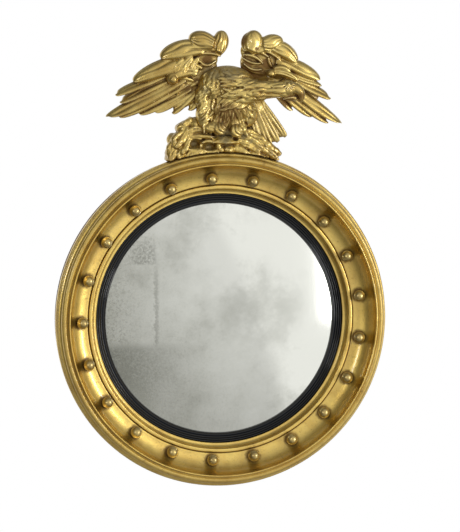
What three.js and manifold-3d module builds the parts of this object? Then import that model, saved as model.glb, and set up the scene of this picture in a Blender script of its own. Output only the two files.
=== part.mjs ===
// A convex wall mirror: a deep turned and gilt round frame with balls in its hollow, an ebonised
// slip round a convex glass, and a carved eagle on rockwork as its crest.
//
// Millimetres. X runs to the right, Z up, and the wall is the plane Y = 0: every height here is
// measured forward from the wall, so a height h lies at Y = -h. The origin is the centre of the
// round frame in the plane of its back.

import * as THREE from 'three';
import { mergeVertices } from 'three/addons/utils/BufferGeometryUtils.js';
import Module from 'manifold-3d';

const wasm = await Module();
wasm.setup();

// ---------------------------------------------------------------- driving dimensions

// Fits
const FIT_GAP = 0.3; // between pieces that touch
const CARVING_GAP = 0.4; // between carved pieces and what they are bedded on
const QUIRK = 0.8; // small square step between two members of a moulding
const RING_FACETS = 63; // facets round each turned ring

// The frame is set out from its widest edge inward, and from the wall forward.
const FRAME_RADIUS = 305;

// Rear ring of glued felloes
const FELLOE_COUNT = 6;
const EDGE_OVERHANG = 5; // of the front moulding past the felloes
const REBATE_WALL = 38; // radial width of wood left outside the backboard rebate
const SHOULDER_DEPTH = 4.6; // how far the inner moulding is let into the bore

// Backboard and the glazing blocks that hold the slip and the glass forward
const BOARD_COUNT = 3;
const BACKBOARD_SETBACK = 1; // how far the boards lie inside the back plane
const BACKBOARD_THICKNESS = 9;
const BOARD_SCREW_INSET = 13;
const BLOCK_COUNT = 4;
const BLOCK_LENGTH = 34;
const BLOCK_THICKNESS = 5.4;
const BLOCK_LAP = 4.5; // of each block under the edge of the glass

// Front moulding
const EDGE_STEP = 7; // depth of the set-back band behind the widest edge
const EDGE_CHAMFER = 1.4;
const EDGE_BAND = 8; // width of the widest edge
const SIDE_REEDS = 3;
const SIDE_SPLAY = 7.6; // how far the reeded side leans in
const SIDE_REED_RISE = 1.1;
const TORUS_RADIUS = 5.9;
const TORUS_SETBACK = 10.4; // its centre behind the bright fillet
const GROOVE_WIDTH = 1.3; // between the torus and the bright fillet
const FILLET_WIDTH = 3;
const FILLET_RISE = 2; // above the edge of the hollow
const HOLLOW_DEPTH = 33.7; // the hollow runs down as a quarter ellipse
const HOLLOW_WIDTH = 36.6;
const HOLLOW_STEPS = 5;

// Gilt inner moulding
const INNER_RISE = 2.6; // above the foot of the hollow
const INNER_FILLET_WIDTH = 6.4;
const INNER_COVE_WIDTH = 6.8;
const INNER_COVE_DEPTH = 12;
const INNER_STEP = 1.9; // from the foot of the cove to the black slip
const INNER_LIP_THICKNESS = 3.1;
const INNER_LIP = 7.2; // overhang inside the felloe bore, which traps the slip

// Ebonised slip
const SLIP_THICKNESS = 8.4;
const SLIP_SETBACK = 1; // of its face behind the lip that traps it
const SLIP_REEDS = 3;
const SLIP_REED_WIDTH = 4;
const SLIP_REED_RISE = 1.3;
const SLIP_SLOPE_WIDTH = 5.6; // plain slope down to the sight edge
const SLIP_SLOPE_DROP = 1.1;

// Convex glass
const GLASS_LAP = 11.4; // behind the slip
const GLASS_RISE = 25;
const GLASS_THICKNESS = 3;
const GLASS_STEPS = 4;

// Balls in the hollow, each turned with its peg
const BALL_COUNT = 21;
const BALL_RADIUS = 10.3;
const BALL_INSET = 12.3; // centres out from the foot of the hollow
const BALL_STANDOFF = 1.84; // under each ball, measured straight back
const FIRST_BALL_ANGLE = -4.44; // degrees clockwise from the top
const PEG_RADIUS = 3;
const PEG_DEPTH = 8; // below the surface of the hollow
const BALL_FACETS = 8;

// Wood screws
const SCREW_HEAD_RADIUS = 4.2;
const SCREW_HEAD_DEPTH = 2.3;
const SCREW_RADIUS = 1.9;
const SCREW_LENGTH = 20;
const SCREW_POINT = 4;
const SCREW_FACETS = 8;

// Ring hangers, let into the back
const HANGER_INSET = 25; // from the edge of the felloes
const HANGER_PIVOT_Z = 54;
const POCKET_DEPTH = 7;
const POCKET_MARGIN = 1.4;
const PLATE_WIDTH = 12;
const PLATE_LENGTH = 28;
const PLATE_THICKNESS = 1.5;
const KNUCKLE_RADIUS = 2.9;
const KNUCKLE_SEAT = 0.2; // of the knuckle behind the plate's front face
const RING_WIRE_RADIUS = 1.25;
const RING_SIDE_PLAY = 0.95; // on each side of the plate
const RING_DROP = 14.5; // from the pivot to the lowest wire centre
const WIRE_CLEARANCE = 0.4;
const HANGER_SCREW_MARGIN = 5.6;
const HANGER_SCREW_LENGTH = 13;
const HANGER_SCREW_HEAD = 3;

// Iron strap that ties the crest to the frame
const STRAP_WIDTH = 26;
const STRAP_LAP = 32; // on the felloes
const STRAP_RISE = 38; // above the felloes
const STRAP_THICKNESS = 3;
const STRAP_SETBACK = 0.7;
const STRAP_SCREW_INSET = 15;

// Crest
const CREST_UNIT = 1; // length of one unit of the carving's layout, which stands 220 units high
const CARVING_FACETS = 8;
const CARVING_ROWS = 6;

// ---------------------------------------------------------------- sizes that follow

// Radii, from the widest edge inward
const felloeRadius = FRAME_RADIUS - EDGE_OVERHANG;
const rebateRadius = felloeRadius - REBATE_WALL;
const torusCentre = FRAME_RADIUS - SIDE_SPLAY - TORUS_RADIUS;
const filletOuter = torusCentre - TORUS_RADIUS - GROOVE_WIDTH;
const hollowOuter = filletOuter - FILLET_WIDTH;
const hollowInner = hollowOuter - HOLLOW_WIDTH;
const innerOuter = hollowInner - FIT_GAP;
const innerFilletEdge = innerOuter - INNER_FILLET_WIDTH;
const coveEdge = innerFilletEdge - INNER_COVE_WIDTH - QUIRK;
const lipEdge = coveEdge - INNER_STEP;
const shoulderRadius = lipEdge + INNER_LIP;
const felloeBore = shoulderRadius + FIT_GAP;
const slipOuter = felloeBore - 2 * FIT_GAP;
const slipVisible = lipEdge - FIT_GAP;
const slipReedFoot = slipVisible - SLIP_REEDS * SLIP_REED_WIDTH;
const sightRadius = slipReedFoot - SLIP_SLOPE_WIDTH;
const glassRadius = sightRadius + GLASS_LAP;
const ballCircle = hollowInner + BALL_INSET;

// Heights, from the wall forward
const boardFront = BACKBOARD_SETBACK + BACKBOARD_THICKNESS;
const slipBack = boardFront + BLOCK_THICKNESS + 2 * FIT_GAP;
const slipFace = slipBack + SLIP_THICKNESS;
const slipEdge = slipFace - SLIP_SLOPE_DROP;
const lipBack = slipFace + SLIP_SETBACK;
const lipFront = lipBack + INNER_LIP_THICKNESS;
const mouldingBack = lipBack + SHOULDER_DEPTH;
const felloeFront = mouldingBack - FIT_GAP;
const innerTop = lipFront + INNER_COVE_DEPTH + 3 * QUIRK;
const hollowFoot = innerTop - INNER_RISE;
const hollowTop = hollowFoot + HOLLOW_DEPTH;
const frameFront = hollowTop + FILLET_RISE;
const torusHeight = frameFront - TORUS_SETBACK;
const sideFront = torusHeight + QUIRK;
const bandBack = mouldingBack + EDGE_STEP;
const bandFront = bandBack + EDGE_CHAMFER + EDGE_BAND;
const ballHeight = hollowHeight(ballCircle) + BALL_STANDOFF + BALL_RADIUS;
const pegEnd = hollowHeight(ballCircle) - PEG_DEPTH;

// Hardware
const hangerX = felloeRadius - HANGER_INSET;
const plateFace = POCKET_DEPTH - FIT_GAP - PLATE_THICKNESS;
const pivotHeight = POCKET_DEPTH - FIT_GAP - KNUCKLE_SEAT - KNUCKLE_RADIUS;
const ringWidth = PLATE_WIDTH + 2 * (RING_WIRE_RADIUS + RING_SIDE_PLAY);
const pocketWidth = ringWidth + 2 * (RING_WIRE_RADIUS + POCKET_MARGIN);
const strapFoot = felloeRadius - STRAP_LAP;
const strapTop = felloeRadius + STRAP_RISE;

const wood = new THREE.Color('#9c7a4c');
const gold = new THREE.Color('#b8934a');
const black = new THREE.Color('#1d2024');
const silver = new THREE.Color('#c9ccc6');
const iron = new THREE.Color('#4b4643');
const brass = new THREE.Color('#8f7440');

// ---------------------------------------------------------------- solids

// Welds a geometry, drops its collapsed triangles and turns it right side out.
function closed(geometry) {
  const bare = geometry.index ? geometry.toNonIndexed() : geometry.clone();
  bare.deleteAttribute('normal');
  bare.deleteAttribute('uv');
  const welded = mergeVertices(bare, 1e-4);
  const place = welded.getAttribute('position');
  const [a, b, c] = [new THREE.Vector3(), new THREE.Vector3(), new THREE.Vector3()];
  const index = [];
  let volume = 0;
  for (let i = 0; i < welded.index.count; i += 3) {
    const corners = [0, 1, 2].map((k) => welded.index.getX(i + k));
    if (new Set(corners).size < 3) continue;
    index.push(...corners);
    [a, b, c].forEach((v, k) => v.fromBufferAttribute(place, corners[k]));
    volume += a.dot(b.cross(c));
  }
  if (volume < 0) index.reverse();
  welded.setIndex(index);
  return welded;
}

function solidOf(geometry) {
  const shape = closed(geometry);
  return new wasm.Manifold(new wasm.Mesh({
    numProp: 3,
    vertProperties: Float32Array.from(shape.getAttribute('position').array),
    triVerts: Uint32Array.from(shape.index.array),
  }));
}

function geometryOf(solid) {
  const mesh = solid.getMesh();
  const geometry = new THREE.BufferGeometry();
  geometry.setAttribute('position', new THREE.BufferAttribute(mesh.vertProperties, 3));
  geometry.setIndex(new THREE.BufferAttribute(mesh.triVerts, 1));
  return geometry;
}

const joined = (solids) => solids.reduce((whole, part) => whole.add(part));

// Turns a profile of [radius, height] round the Y axis. A ring closes on itself.
function turned(profile, facets = RING_FACETS) {
  const points = profile.map(([radius, height]) => new THREE.Vector2(radius, -height));
  if (points[0].x > 0) points.push(points[0].clone());
  return new THREE.LatheGeometry(points, facets);
}

// A box between two corners given as [x, height, z].
function block([x0, h0, z0], [x1, h1, z1]) {
  const box = new THREE.BoxGeometry(x1 - x0, h1 - h0, z1 - z0);
  return box.translate((x0 + x1) / 2, -(h0 + h1) / 2, (z0 + z1) / 2);
}

// Points of an elliptical arc in a profile, angles in degrees from the outward radius.
function arc([radius, height], [radial, forward], from, to, steps) {
  return Array.from({ length: steps + 1 }, (_, i) => {
    const angle = THREE.MathUtils.degToRad(from + (to - from) * i / steps);
    return [radius + radial * Math.cos(angle), height + forward * Math.sin(angle)];
  });
}

// Half-round reeds along a straight run of a profile, standing off to its right-hand side.
function reeds([r0, h0], [r1, h1], count, rise) {
  const run = new THREE.Vector2(r1 - r0, h1 - h0);
  const out = new THREE.Vector2(run.y, -run.x).normalize();
  const points = [];
  for (let i = 0; i < count; i += 1) {
    const crest = (i + 0.5) / count;
    const valley = (i + 1) / count;
    points.push([r0 + run.x * crest + out.x * rise, h0 + run.y * crest + out.y * rise]);
    points.push([r0 + run.x * valley, h0 + run.y * valley]);
  }
  return points;
}

// A closed skin through rings of equal point count, capped at both ends.
function loft(rings) {
  const sides = rings[0].length;
  const corners = rings.flat();
  const index = [];
  const middle = (ring) => ring.reduce((sum, p) => sum.add(p), new THREE.Vector3()).divideScalar(sides);
  for (let i = 0; i + 1 < rings.length; i += 1) {
    for (let k = 0; k < sides; k += 1) {
      const next = (k + 1) % sides;
      const [a, b] = [i * sides + k, i * sides + next];
      index.push(a, b, b + sides, a, b + sides, a + sides);
    }
  }
  const last = (rings.length - 1) * sides;
  corners.push(middle(rings[0]), middle(rings.at(-1)));
  for (let k = 0; k < sides; k += 1) {
    const next = (k + 1) % sides;
    index.push(corners.length - 2, next, k, corners.length - 1, last + k, last + next);
  }
  const geometry = new THREE.BufferGeometry().setFromPoints(corners);
  geometry.setIndex(index);
  return geometry;
}

// ---------------------------------------------------------------- the turned frame

function frontMoulding() {
  const band = [[felloeRadius, mouldingBack], [felloeRadius, bandBack],
    [FRAME_RADIUS, bandBack + EDGE_CHAMFER], [FRAME_RADIUS, bandFront]];
  const side = reeds([FRAME_RADIUS, bandFront], [FRAME_RADIUS - SIDE_SPLAY, sideFront],
    SIDE_REEDS, SIDE_REED_RISE);
  const torus = arc([torusCentre, torusHeight], [TORUS_RADIUS, TORUS_RADIUS], 20, 180, 3);
  const fillet = [[filletOuter, frameFront - QUIRK], [filletOuter - QUIRK, frameFront],
    [hollowOuter + QUIRK / 2, frameFront]];
  const hollow = arc([hollowInner, hollowTop], [HOLLOW_WIDTH, -HOLLOW_DEPTH], 0, 90, HOLLOW_STEPS);
  const ring = turned([...band, ...side, ...torus, ...fillet, ...hollow, [hollowInner, mouldingBack]]);
  const holes = ballAngles.map((angle) => solidOf(onBallCircle(pegHole(), angle)));
  return geometryOf(solidOf(ring).subtract(joined(holes)));
}

// A flat fillet and a cove, with a lip over the slip and a shoulder in the bore of the felloes.
function innerMoulding() {
  const cove = arc([coveEdge, innerTop - 2 * QUIRK], [INNER_COVE_WIDTH, -INNER_COVE_DEPTH], 0, 90, 3);
  return turned([[lipEdge, lipBack], [shoulderRadius, lipBack], [shoulderRadius, mouldingBack],
    [innerOuter, mouldingBack], [innerOuter, innerTop - QUIRK], [innerOuter - QUIRK, innerTop],
    [innerFilletEdge, innerTop], ...cove, [lipEdge, lipFront]]);
}

// The slip is bevelled behind its sight edge to bear on the glass.
function slip() {
  const seat = glassRadius + 2 * FIT_GAP;
  const lip = lipBack - FIT_GAP;
  const reeding = reeds([slipVisible, slipFace], [slipReedFoot, slipFace], SLIP_REEDS, SLIP_REED_RISE);
  return turned([[slipOuter, slipBack], [slipOuter, lip], [slipVisible + QUIRK, lip],
    [slipVisible, slipFace], ...reeding, [sightRadius, slipEdge],
    [sightRadius, glassFront(sightRadius) + FIT_GAP], [seat, glassFront(glassRadius) + FIT_GAP],
    [seat, slipBack]]);
}

// Both faces of the glass are caps of one sphere, the back one a thickness behind the front.
function glassFront(radius) {
  const sphere = (glassRadius ** 2 + GLASS_RISE ** 2) / (2 * GLASS_RISE);
  const fall = sphere - Math.sqrt(sphere ** 2 - radius ** 2);
  return slipBack + GLASS_THICKNESS + GLASS_RISE - fall;
}

function convexGlass() {
  const radii = Array.from({ length: GLASS_STEPS + 1 }, (_, i) => glassRadius * i / GLASS_STEPS);
  const front = radii.map((radius) => [radius, glassFront(radius)]);
  const back = front.map(([radius, height]) => [radius, height - GLASS_THICKNESS]).reverse();
  return turned([...front, ...back]);
}

// ---------------------------------------------------------------- balls

const ballAngles = Array.from({ length: BALL_COUNT }, (_, i) => FIRST_BALL_ANGLE + i * 360 / BALL_COUNT);

// Moves a shape from the Y axis to the ball circle, an angle clockwise from the top.
function onBallCircle(geometry, angle) {
  const turn = THREE.MathUtils.degToRad(angle);
  return geometry.rotateY(turn).translate(ballCircle * Math.sin(turn), 0, ballCircle * Math.cos(turn));
}

function hollowHeight(radius) {
  return hollowTop - HOLLOW_DEPTH * Math.sqrt(1 - ((radius - hollowInner) / HOLLOW_WIDTH) ** 2);
}

function pegHole() {
  const radius = (PEG_RADIUS + FIT_GAP) / Math.cos(Math.PI / BALL_FACETS);
  return turned([[0, ballHeight], [radius, ballHeight], [radius, pegEnd - FIT_GAP],
    [0, pegEnd - FIT_GAP]], BALL_FACETS);
}

function ball() {
  const neck = 180 - THREE.MathUtils.radToDeg(Math.asin(PEG_RADIUS / BALL_RADIUS));
  const round = Array.from({ length: 5 }, (_, i) => {
    const angle = THREE.MathUtils.degToRad(neck * i / 4);
    return [BALL_RADIUS * Math.sin(angle), ballHeight + BALL_RADIUS * Math.cos(angle)];
  });
  return turned([...round, [PEG_RADIUS, pegEnd], [0, pegEnd]], BALL_FACETS);
}

// ---------------------------------------------------------------- screws

// A countersunk screw driven forward from its head, with room round it where it is a hole.
function screw({ x, z, head, length, headRadius = SCREW_HEAD_RADIUS, room = 0 }) {
  const grow = (radius) => (radius + room) / (room ? Math.cos(Math.PI / SCREW_FACETS) : 1);
  const neck = head + SCREW_HEAD_DEPTH;
  const tip = head + length + room;
  const start = room ? head - 1 : head;
  const geometry = turned([[0, start], [grow(headRadius), start], [grow(headRadius), head + 0.3],
    [grow(SCREW_RADIUS), neck], [grow(SCREW_RADIUS), tip - SCREW_POINT], [0, tip]], SCREW_FACETS);
  return geometry.translate(x, 0, z);
}

// Two screws in each board, one near each end.
const boardScrews = [];
for (let i = 0; i < BOARD_COUNT; i += 1) {
  const x = (i - (BOARD_COUNT - 1) / 2) * 2 * rebateRadius / BOARD_COUNT * 0.94;
  const z = Math.sqrt((rebateRadius - BOARD_SCREW_INSET) ** 2 - x ** 2);
  for (const side of [-1, 1]) {
    boardScrews.push({ x, z: side * z, head: BACKBOARD_SETBACK, length: SCREW_LENGTH });
  }
}

// Two in each hanger plate, clear of its knuckle and its upper end.
const hangerScrews = [];
for (const side of [-1, 1]) {
  for (const rise of [KNUCKLE_RADIUS + HANGER_SCREW_MARGIN, PLATE_LENGTH - HANGER_SCREW_MARGIN]) {
    hangerScrews.push({ x: side * hangerX, z: HANGER_PIVOT_Z + rise, head: plateFace,
      length: HANGER_SCREW_LENGTH, headRadius: HANGER_SCREW_HEAD });
  }
}

const strapScrews = [strapFoot + STRAP_SCREW_INSET, strapTop - STRAP_SCREW_INSET].map((z) => ({
  x: 0, z, head: STRAP_SETBACK, length: SCREW_LENGTH }));

const screwHoles = (list) => joined(list.map((at) => solidOf(screw({ ...at, room: FIT_GAP }))));

// ---------------------------------------------------------------- rear ring and boards

// A wedge wider than the frame, between two angles clockwise from the top.
function wedge(from, to) {
  const reach = 1.5 * FRAME_RADIUS;
  const shape = new THREE.Shape([new THREE.Vector2(0, 0)]);
  for (let i = 0; i <= 4; i += 1) {
    const angle = THREE.MathUtils.degToRad(from + (to - from) * i / 4);
    shape.lineTo(reach * Math.sin(angle), reach * Math.cos(angle));
  }
  const geometry = new THREE.ExtrudeGeometry(shape, { depth: 2 * frameFront, bevelEnabled: false });
  return geometry.rotateX(Math.PI / 2).translate(0, frameFront, 0);
}

function strapRecess() {
  const half = STRAP_WIDTH / 2 + FIT_GAP;
  return block([-half, -1, strapFoot - FIT_GAP],
    [half, STRAP_SETBACK + STRAP_THICKNESS + FIT_GAP, FRAME_RADIUS + 10]);
}

function hangerPocket(side) {
  const half = pocketWidth / 2;
  const low = HANGER_PIVOT_Z - RING_DROP - RING_WIRE_RADIUS - POCKET_MARGIN;
  const high = HANGER_PIVOT_Z + PLATE_LENGTH + POCKET_MARGIN;
  return block([side * hangerX - half, -1, low], [side * hangerX + half, POCKET_DEPTH, high]);
}

function felloes() {
  const ring = solidOf(turned([[felloeBore, boardFront + FIT_GAP], [rebateRadius, boardFront + FIT_GAP],
    [rebateRadius, 0], [felloeRadius, 0], [felloeRadius, felloeFront], [felloeBore, felloeFront]]));
  const cut = joined([solidOf(strapRecess()), solidOf(hangerPocket(-1)), solidOf(hangerPocket(1)),
    screwHoles([...boardScrews, ...hangerScrews, ...strapScrews])]);
  const drilled = ring.subtract(cut);
  const span = 360 / FELLOE_COUNT;
  const joint = THREE.MathUtils.radToDeg(FIT_GAP / felloeBore) / 2;
  return Array.from({ length: FELLOE_COUNT }, (_, i) => {
    const middle = i * span;
    return geometryOf(drilled.intersect(solidOf(wedge(middle - span / 2 + joint, middle + span / 2 - joint))));
  });
}

function backboards() {
  const radius = rebateRadius - 2 * FIT_GAP;
  const disc = solidOf(turned([[0, BACKBOARD_SETBACK], [radius, BACKBOARD_SETBACK], [radius, boardFront],
    [0, boardFront]]));
  const drilled = disc.subtract(screwHoles(boardScrews));
  const width = 2 * radius / BOARD_COUNT;
  return Array.from({ length: BOARD_COUNT }, (_, i) => {
    const left = -radius + i * width + (i > 0 ? FIT_GAP / 2 : -1);
    const right = -radius + (i + 1) * width + (i < BOARD_COUNT - 1 ? -FIT_GAP / 2 : 1);
    return geometryOf(drilled.intersect(solidOf(block([left, -1, -radius - 1],
      [right, boardFront + 1, radius + 1]))));
  });
}

function glazingBlock(i) {
  const half = BLOCK_LENGTH / 2;
  const bore = felloeBore * Math.cos(Math.PI / RING_FACETS);
  const outer = Math.sqrt(bore ** 2 - half ** 2) - 2 * FIT_GAP;
  const body = block([-half, boardFront + FIT_GAP, glassRadius - BLOCK_LAP], [half, slipBack - FIT_GAP, outer]);
  return body.rotateY((i + 0.5) * 2 * Math.PI / BLOCK_COUNT);
}

// ---------------------------------------------------------------- ring hangers

function hangerPlate(side) {
  const half = PLATE_WIDTH / 2;
  const bore = (RING_WIRE_RADIUS + WIRE_CLEARANCE) / Math.cos(Math.PI / SCREW_FACETS);
  const strip = block([-half, plateFace, 0], [half, plateFace + PLATE_THICKNESS, PLATE_LENGTH]);
  const barrel = (radius, length) => new THREE.CylinderGeometry(radius, radius, length, SCREW_FACETS)
    .rotateZ(Math.PI / 2).translate(0, -pivotHeight, 0);
  const plate = solidOf(strip).add(solidOf(barrel(KNUCKLE_RADIUS, PLATE_WIDTH)))
    .subtract(solidOf(barrel(bore, PLATE_WIDTH + 2)))
    .translate(side * hangerX, 0, HANGER_PIVOT_Z);
  return geometryOf(plate.subtract(screwHoles(hangerScrews.filter((at) => at.x * side > 0))));
}

// A D of round wire, hanging from its straight bar, with the bar on the pivot.
function hangerRing(side) {
  const half = ringWidth / 2;
  const loop = [[-half, 0], [half, 0]];
  for (let i = 0; i <= 8; i += 1) {
    const angle = -Math.PI * i / 8;
    loop.push([half * Math.cos(angle), half - RING_DROP + half * Math.sin(angle)]);
  }
  const points = loop.map(([x, z]) => new THREE.Vector2(x, z));
  const corners = [];
  const index = [];
  const sides = 8;
  points.forEach((point, i) => {
    const back = point.clone().sub(points.at(i - 1)).normalize();
    const ahead = points[(i + 1) % points.length].clone().sub(point).normalize();
    const along = back.clone().add(ahead).normalize();
    const stretch = 1 / along.dot(ahead);
    for (let k = 0; k < sides; k += 1) {
      const angle = 2 * Math.PI * (k + 0.5) / sides;
      const out = RING_WIRE_RADIUS * Math.cos(angle) * stretch;
      corners.push(new THREE.Vector3(point.x - along.y * out, RING_WIRE_RADIUS * Math.sin(angle),
        point.y + along.x * out));
      const [a, b] = [i * sides + k, i * sides + (k + 1) % sides];
      const next = (corner) => (corner + sides) % (points.length * sides);
      index.push(a, b, next(b), a, next(b), next(a));
    }
  });
  const geometry = new THREE.BufferGeometry().setFromPoints(corners);
  geometry.setIndex(index);
  return geometry.translate(side * hangerX, -pivotHeight, HANGER_PIVOT_Z);
}

function crestStrap() {
  const half = STRAP_WIDTH / 2;
  const strip = block([-half, STRAP_SETBACK, strapFoot], [half, STRAP_SETBACK + STRAP_THICKNESS, strapTop]);
  return geometryOf(solidOf(strip).subtract(screwHoles(strapScrews)));
}

// ---------------------------------------------------------------- carving

// The carving is laid out as [right of the middle, above the frame, forward of the wall].
const crestPoint = ([x, z, height]) => new THREE.Vector3(x * CREST_UNIT, -height * CREST_UNIT,
  FRAME_RADIUS + z * CREST_UNIT);

// A rounded lump: its middle, and its half sizes across, up and forward.
function lump({ at, half: [across, up, forward] }, room = 0) {
  const ball = new THREE.SphereGeometry(1, CARVING_FACETS, CARVING_ROWS);
  ball.scale(across * CREST_UNIT + room, forward * CREST_UNIT + room, up * CREST_UNIT + room);
  return solidOf(ball.translate(...crestPoint(at)));
}

// A limb of round section through places with a radius each.
function limb(places, room = 0) {
  const middles = places.map(([x, z, height]) => crestPoint([x, z, height]));
  const rings = places.map(([, , , radius], i) => {
    const ahead = middles[Math.min(i + 1, middles.length - 1)];
    const along = ahead.clone().sub(middles[Math.max(i - 1, 0)]).normalize();
    const side = new THREE.Vector3(0, -1, 0).cross(along).normalize();
    const front = along.clone().cross(side);
    const reach = radius * CREST_UNIT + room;
    return Array.from({ length: CARVING_FACETS }, (_, k) => {
      const angle = 2 * Math.PI * k / CARVING_FACETS;
      return middles[i].clone().addScaledVector(side, reach * Math.cos(angle))
        .addScaledVector(front, reach * Math.sin(angle));
    });
  });
  return solidOf(loft(rings));
}

// A carved feather: a leaf with a ridge down its front, swelling and then narrowing to its tip.
const FEATHER_SHAPE = [[0, 0.7, 1], [0.4, 1, 1], [0.84, 0.8, 0.7], [1, 0.22, 0.3]];

function feather({ from, to, width, thickness = 6, arch = 0 }, room = 0) {
  const [root, tip] = [crestPoint(from), crestPoint(to)];
  const along = tip.clone().sub(root).normalize();
  const side = new THREE.Vector3(0, -1, 0).cross(along).normalize();
  const front = new THREE.Vector3(0, -1, 0);
  const rings = FEATHER_SHAPE.map(([t, wide, thick]) => {
    const middle = root.clone().lerp(tip, t);
    middle.z += arch * CREST_UNIT * 4 * t * (1 - t);
    const half = wide * width * CREST_UNIT / 2 + room;
    const deep = thick * thickness * CREST_UNIT / 2 + room;
    return [[-1, 0], [-0.55, -0.9], [0.55, -0.9], [1, 0], [0.3, 1], [-0.3, 1]].map(([s, f]) =>
      middle.clone().addScaledVector(side, s * half).addScaledVector(front, f * deep));
  });
  return solidOf(loft(rings));
}

// Back, breast, belly, thighs and feet, with the neck stretched to the right and the hooked beak.
const BODY_LUMPS = [
  { at: [8, 118, 52], half: [56, 38, 30] },
  { at: [32, 110, 60], half: [40, 25, 24] },
  { at: [14, 80, 54], half: [48, 30, 26] },
  { at: [-39, 68, 54], half: [14, 28, 17] },
  { at: [46, 70, 50], half: [21, 27, 18] },
  { at: [4, 58, 56], half: [38, 22, 18] },
  { at: [-21, 42, 64], half: [9, 9, 9] },
  { at: [-6, 42, 67], half: [12, 12, 12] },
  { at: [22, 39, 69], half: [13, 13, 13] },
  { at: [117, 115, 79], half: [20, 16, 15] },
];
const NECK = [[30, 112, 60, 22], [56, 112, 66, 20], [80, 112, 71, 18], [104, 114, 77, 16]];
const BEAK = [[124, 112, 80, 12], [135, 110, 81, 9.5], [142, 104, 81, 5.5], [141, 94, 80, 1.2]];

function eagleBody(room = 0) {
  return joined([...BODY_LUMPS.map((l) => lump(l, room)), limb(NECK, room), limb(BEAK, room)]);
}

const LEFT_WING = {
  lumps: [
    { at: [-43, 203, 58], half: [20, 17, 13] },
    { at: [-3, 196, 58], half: [12, 22.5, 12] },
    { at: [-27, 161, 52], half: [20, 15, 12] },
    { at: [-36, 184, 50], half: [36, 22, 9] },
    { at: [-76, 158, 50], half: [14, 17, 9] },
    { at: [-56, 142, 50], half: [24, 26, 9] },
    { at: [-88, 136, 54], half: [10, 9, 7] },
    { at: [-58, 112, 46], half: [26, 20, 8] },
    { at: [-44, 92, 48], half: [18, 14, 8] },
  ],
  feathers: [
    { from: [-40, 178, 54], to: [-113, 170, 50], width: 29, thickness: 10, arch: 9 },
    { from: [-62, 168, 51], to: [-162, 129, 46], width: 25, thickness: 9, arch: 3 },
    { from: [-76, 146, 49], to: [-159, 123, 44], width: 10 },
    { from: [-76, 136, 46], to: [-191, 100, 42], width: 18 },
    { from: [-74, 130, 45], to: [-209, 64, 40], width: 17 },
    { from: [-66, 122, 44], to: [-185, 61, 38], width: 17 },
    { from: [-60, 114, 44], to: [-148, 66, 38], width: 16 },
    { from: [-56, 108, 43], to: [-119, 72, 38], width: 15 },
    { from: [-46, 104, 43], to: [-88, 69, 38], width: 15 },
    { from: [-40, 102, 43], to: [-57, 76, 39], width: 13 },
  ],
};

const RIGHT_WING = {
  lumps: [
    { at: [49, 201, 58], half: [18.5, 18, 13] },
    { at: [86, 199, 56], half: [19, 17, 12] },
    { at: [54, 162, 52], half: [20, 11.5, 12] },
    { at: [70, 176, 49], half: [34, 24, 9] },
    { at: [76, 148, 45], half: [28, 22, 8] },
    { at: [94, 162, 50], half: [20, 15, 9] },
    { at: [108, 128, 45], half: [34, 24, 8] },
  ],
  feathers: [
    { from: [78, 186, 55], to: [138, 161, 51], width: 23, thickness: 10, arch: 7 },
    { from: [100, 163, 52], to: [181, 130, 46], width: 19, thickness: 8 },
    { from: [110, 136, 49], to: [184, 118, 44], width: 11 },
    { from: [82, 141, 56], to: [134, 128, 58], width: 13, thickness: 9, arch: 9 },
    { from: [118, 130, 46], to: [198, 94, 42], width: 16 },
    { from: [112, 126, 45], to: [225, 47, 40], width: 16 },
    { from: [106, 120, 44], to: [198, 49, 38], width: 16 },
    { from: [98, 114, 44], to: [166, 61, 38], width: 14 },
    { from: [92, 110, 43], to: [131, 73, 38], width: 13 },
  ],
};

function wing({ lumps, feathers }) {
  const shape = joined([...lumps.map((l) => lump(l)), ...feathers.map((f) => feather(f))]);
  return geometryOf(shape.subtract(eagleBody(CARVING_GAP)));
}

const TAIL_ROOT = { at: [62, 80, 46], half: [18, 16, 9] };
const TAIL_FEATHERS = [
  { from: [70, 86, 45], to: [118, 26, 37], width: 17, thickness: 7 },
  { from: [64, 84, 46], to: [106, 19, 38], width: 17, thickness: 7 },
  { from: [58, 82, 47], to: [93, 12, 40], width: 18, thickness: 8 },
  { from: [53, 80, 47], to: [79, 12, 42], width: 18, thickness: 8 },
];

function eagleTail(room = 0) {
  return joined([lump(TAIL_ROOT, room), ...TAIL_FEATHERS.map((f) => feather(f, room))]);
}

// The rockwork: a back block, a wider front block sawn to the outline, lumps carved proud of it,
// and two hollows in its face.
const ROCK_OUTLINE = [[-103, -14], [-98, 4], [-91, 21], [-80, 33], [-66, 44], [-46, 50], [-26, 46], [-10, 38],
  [30, 38], [52, 40], [62, 24], [68, 12], [92, 8], [102, 2], [105, -16], [60, -40], [-60, -40]];
const ROCK_BACK_OUTLINE = [[-80, -14], [-76, 14], [-64, 36], [-30, 38], [30, 36], [50, 28], [66, 8], [80, -14],
  [60, -40], [-60, -40]];
const ROCK_STEP = 27; // height of the front block's back face
const ROCK_FRONT = 50;
const ROCK_LUMPS = [
  { at: [-64, 42, 40], half: [19, 14, 16] },
  { at: [-84, 20, 38], half: [12, 14, 15] },
  { at: [-94, -2, 46], half: [11, 13, 12] },
  { at: [-76, 8, 50], half: [14, 20, 9] },
  { at: [-40, 24, 50], half: [20, 14, 11] },
  { at: [-14, 10, 50], half: [18, 14, 12] },
  { at: [5, 22, 52], half: [24, 9, 12] },
  { at: [13, 8, 50], half: [16, 13, 13] },
  { at: [40, 10, 50], half: [18, 14, 11] },
  { at: [66, 2, 48], half: [18, 12, 11] },
  { at: [92, -4, 46], half: [13, 15, 11] },
];
const ROCK_HOLLOWS = [{ at: [-52, 12, 62], half: [8, 6, 8] }, { at: [-27, 10, 64], half: [9, 6, 8] }];

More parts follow.
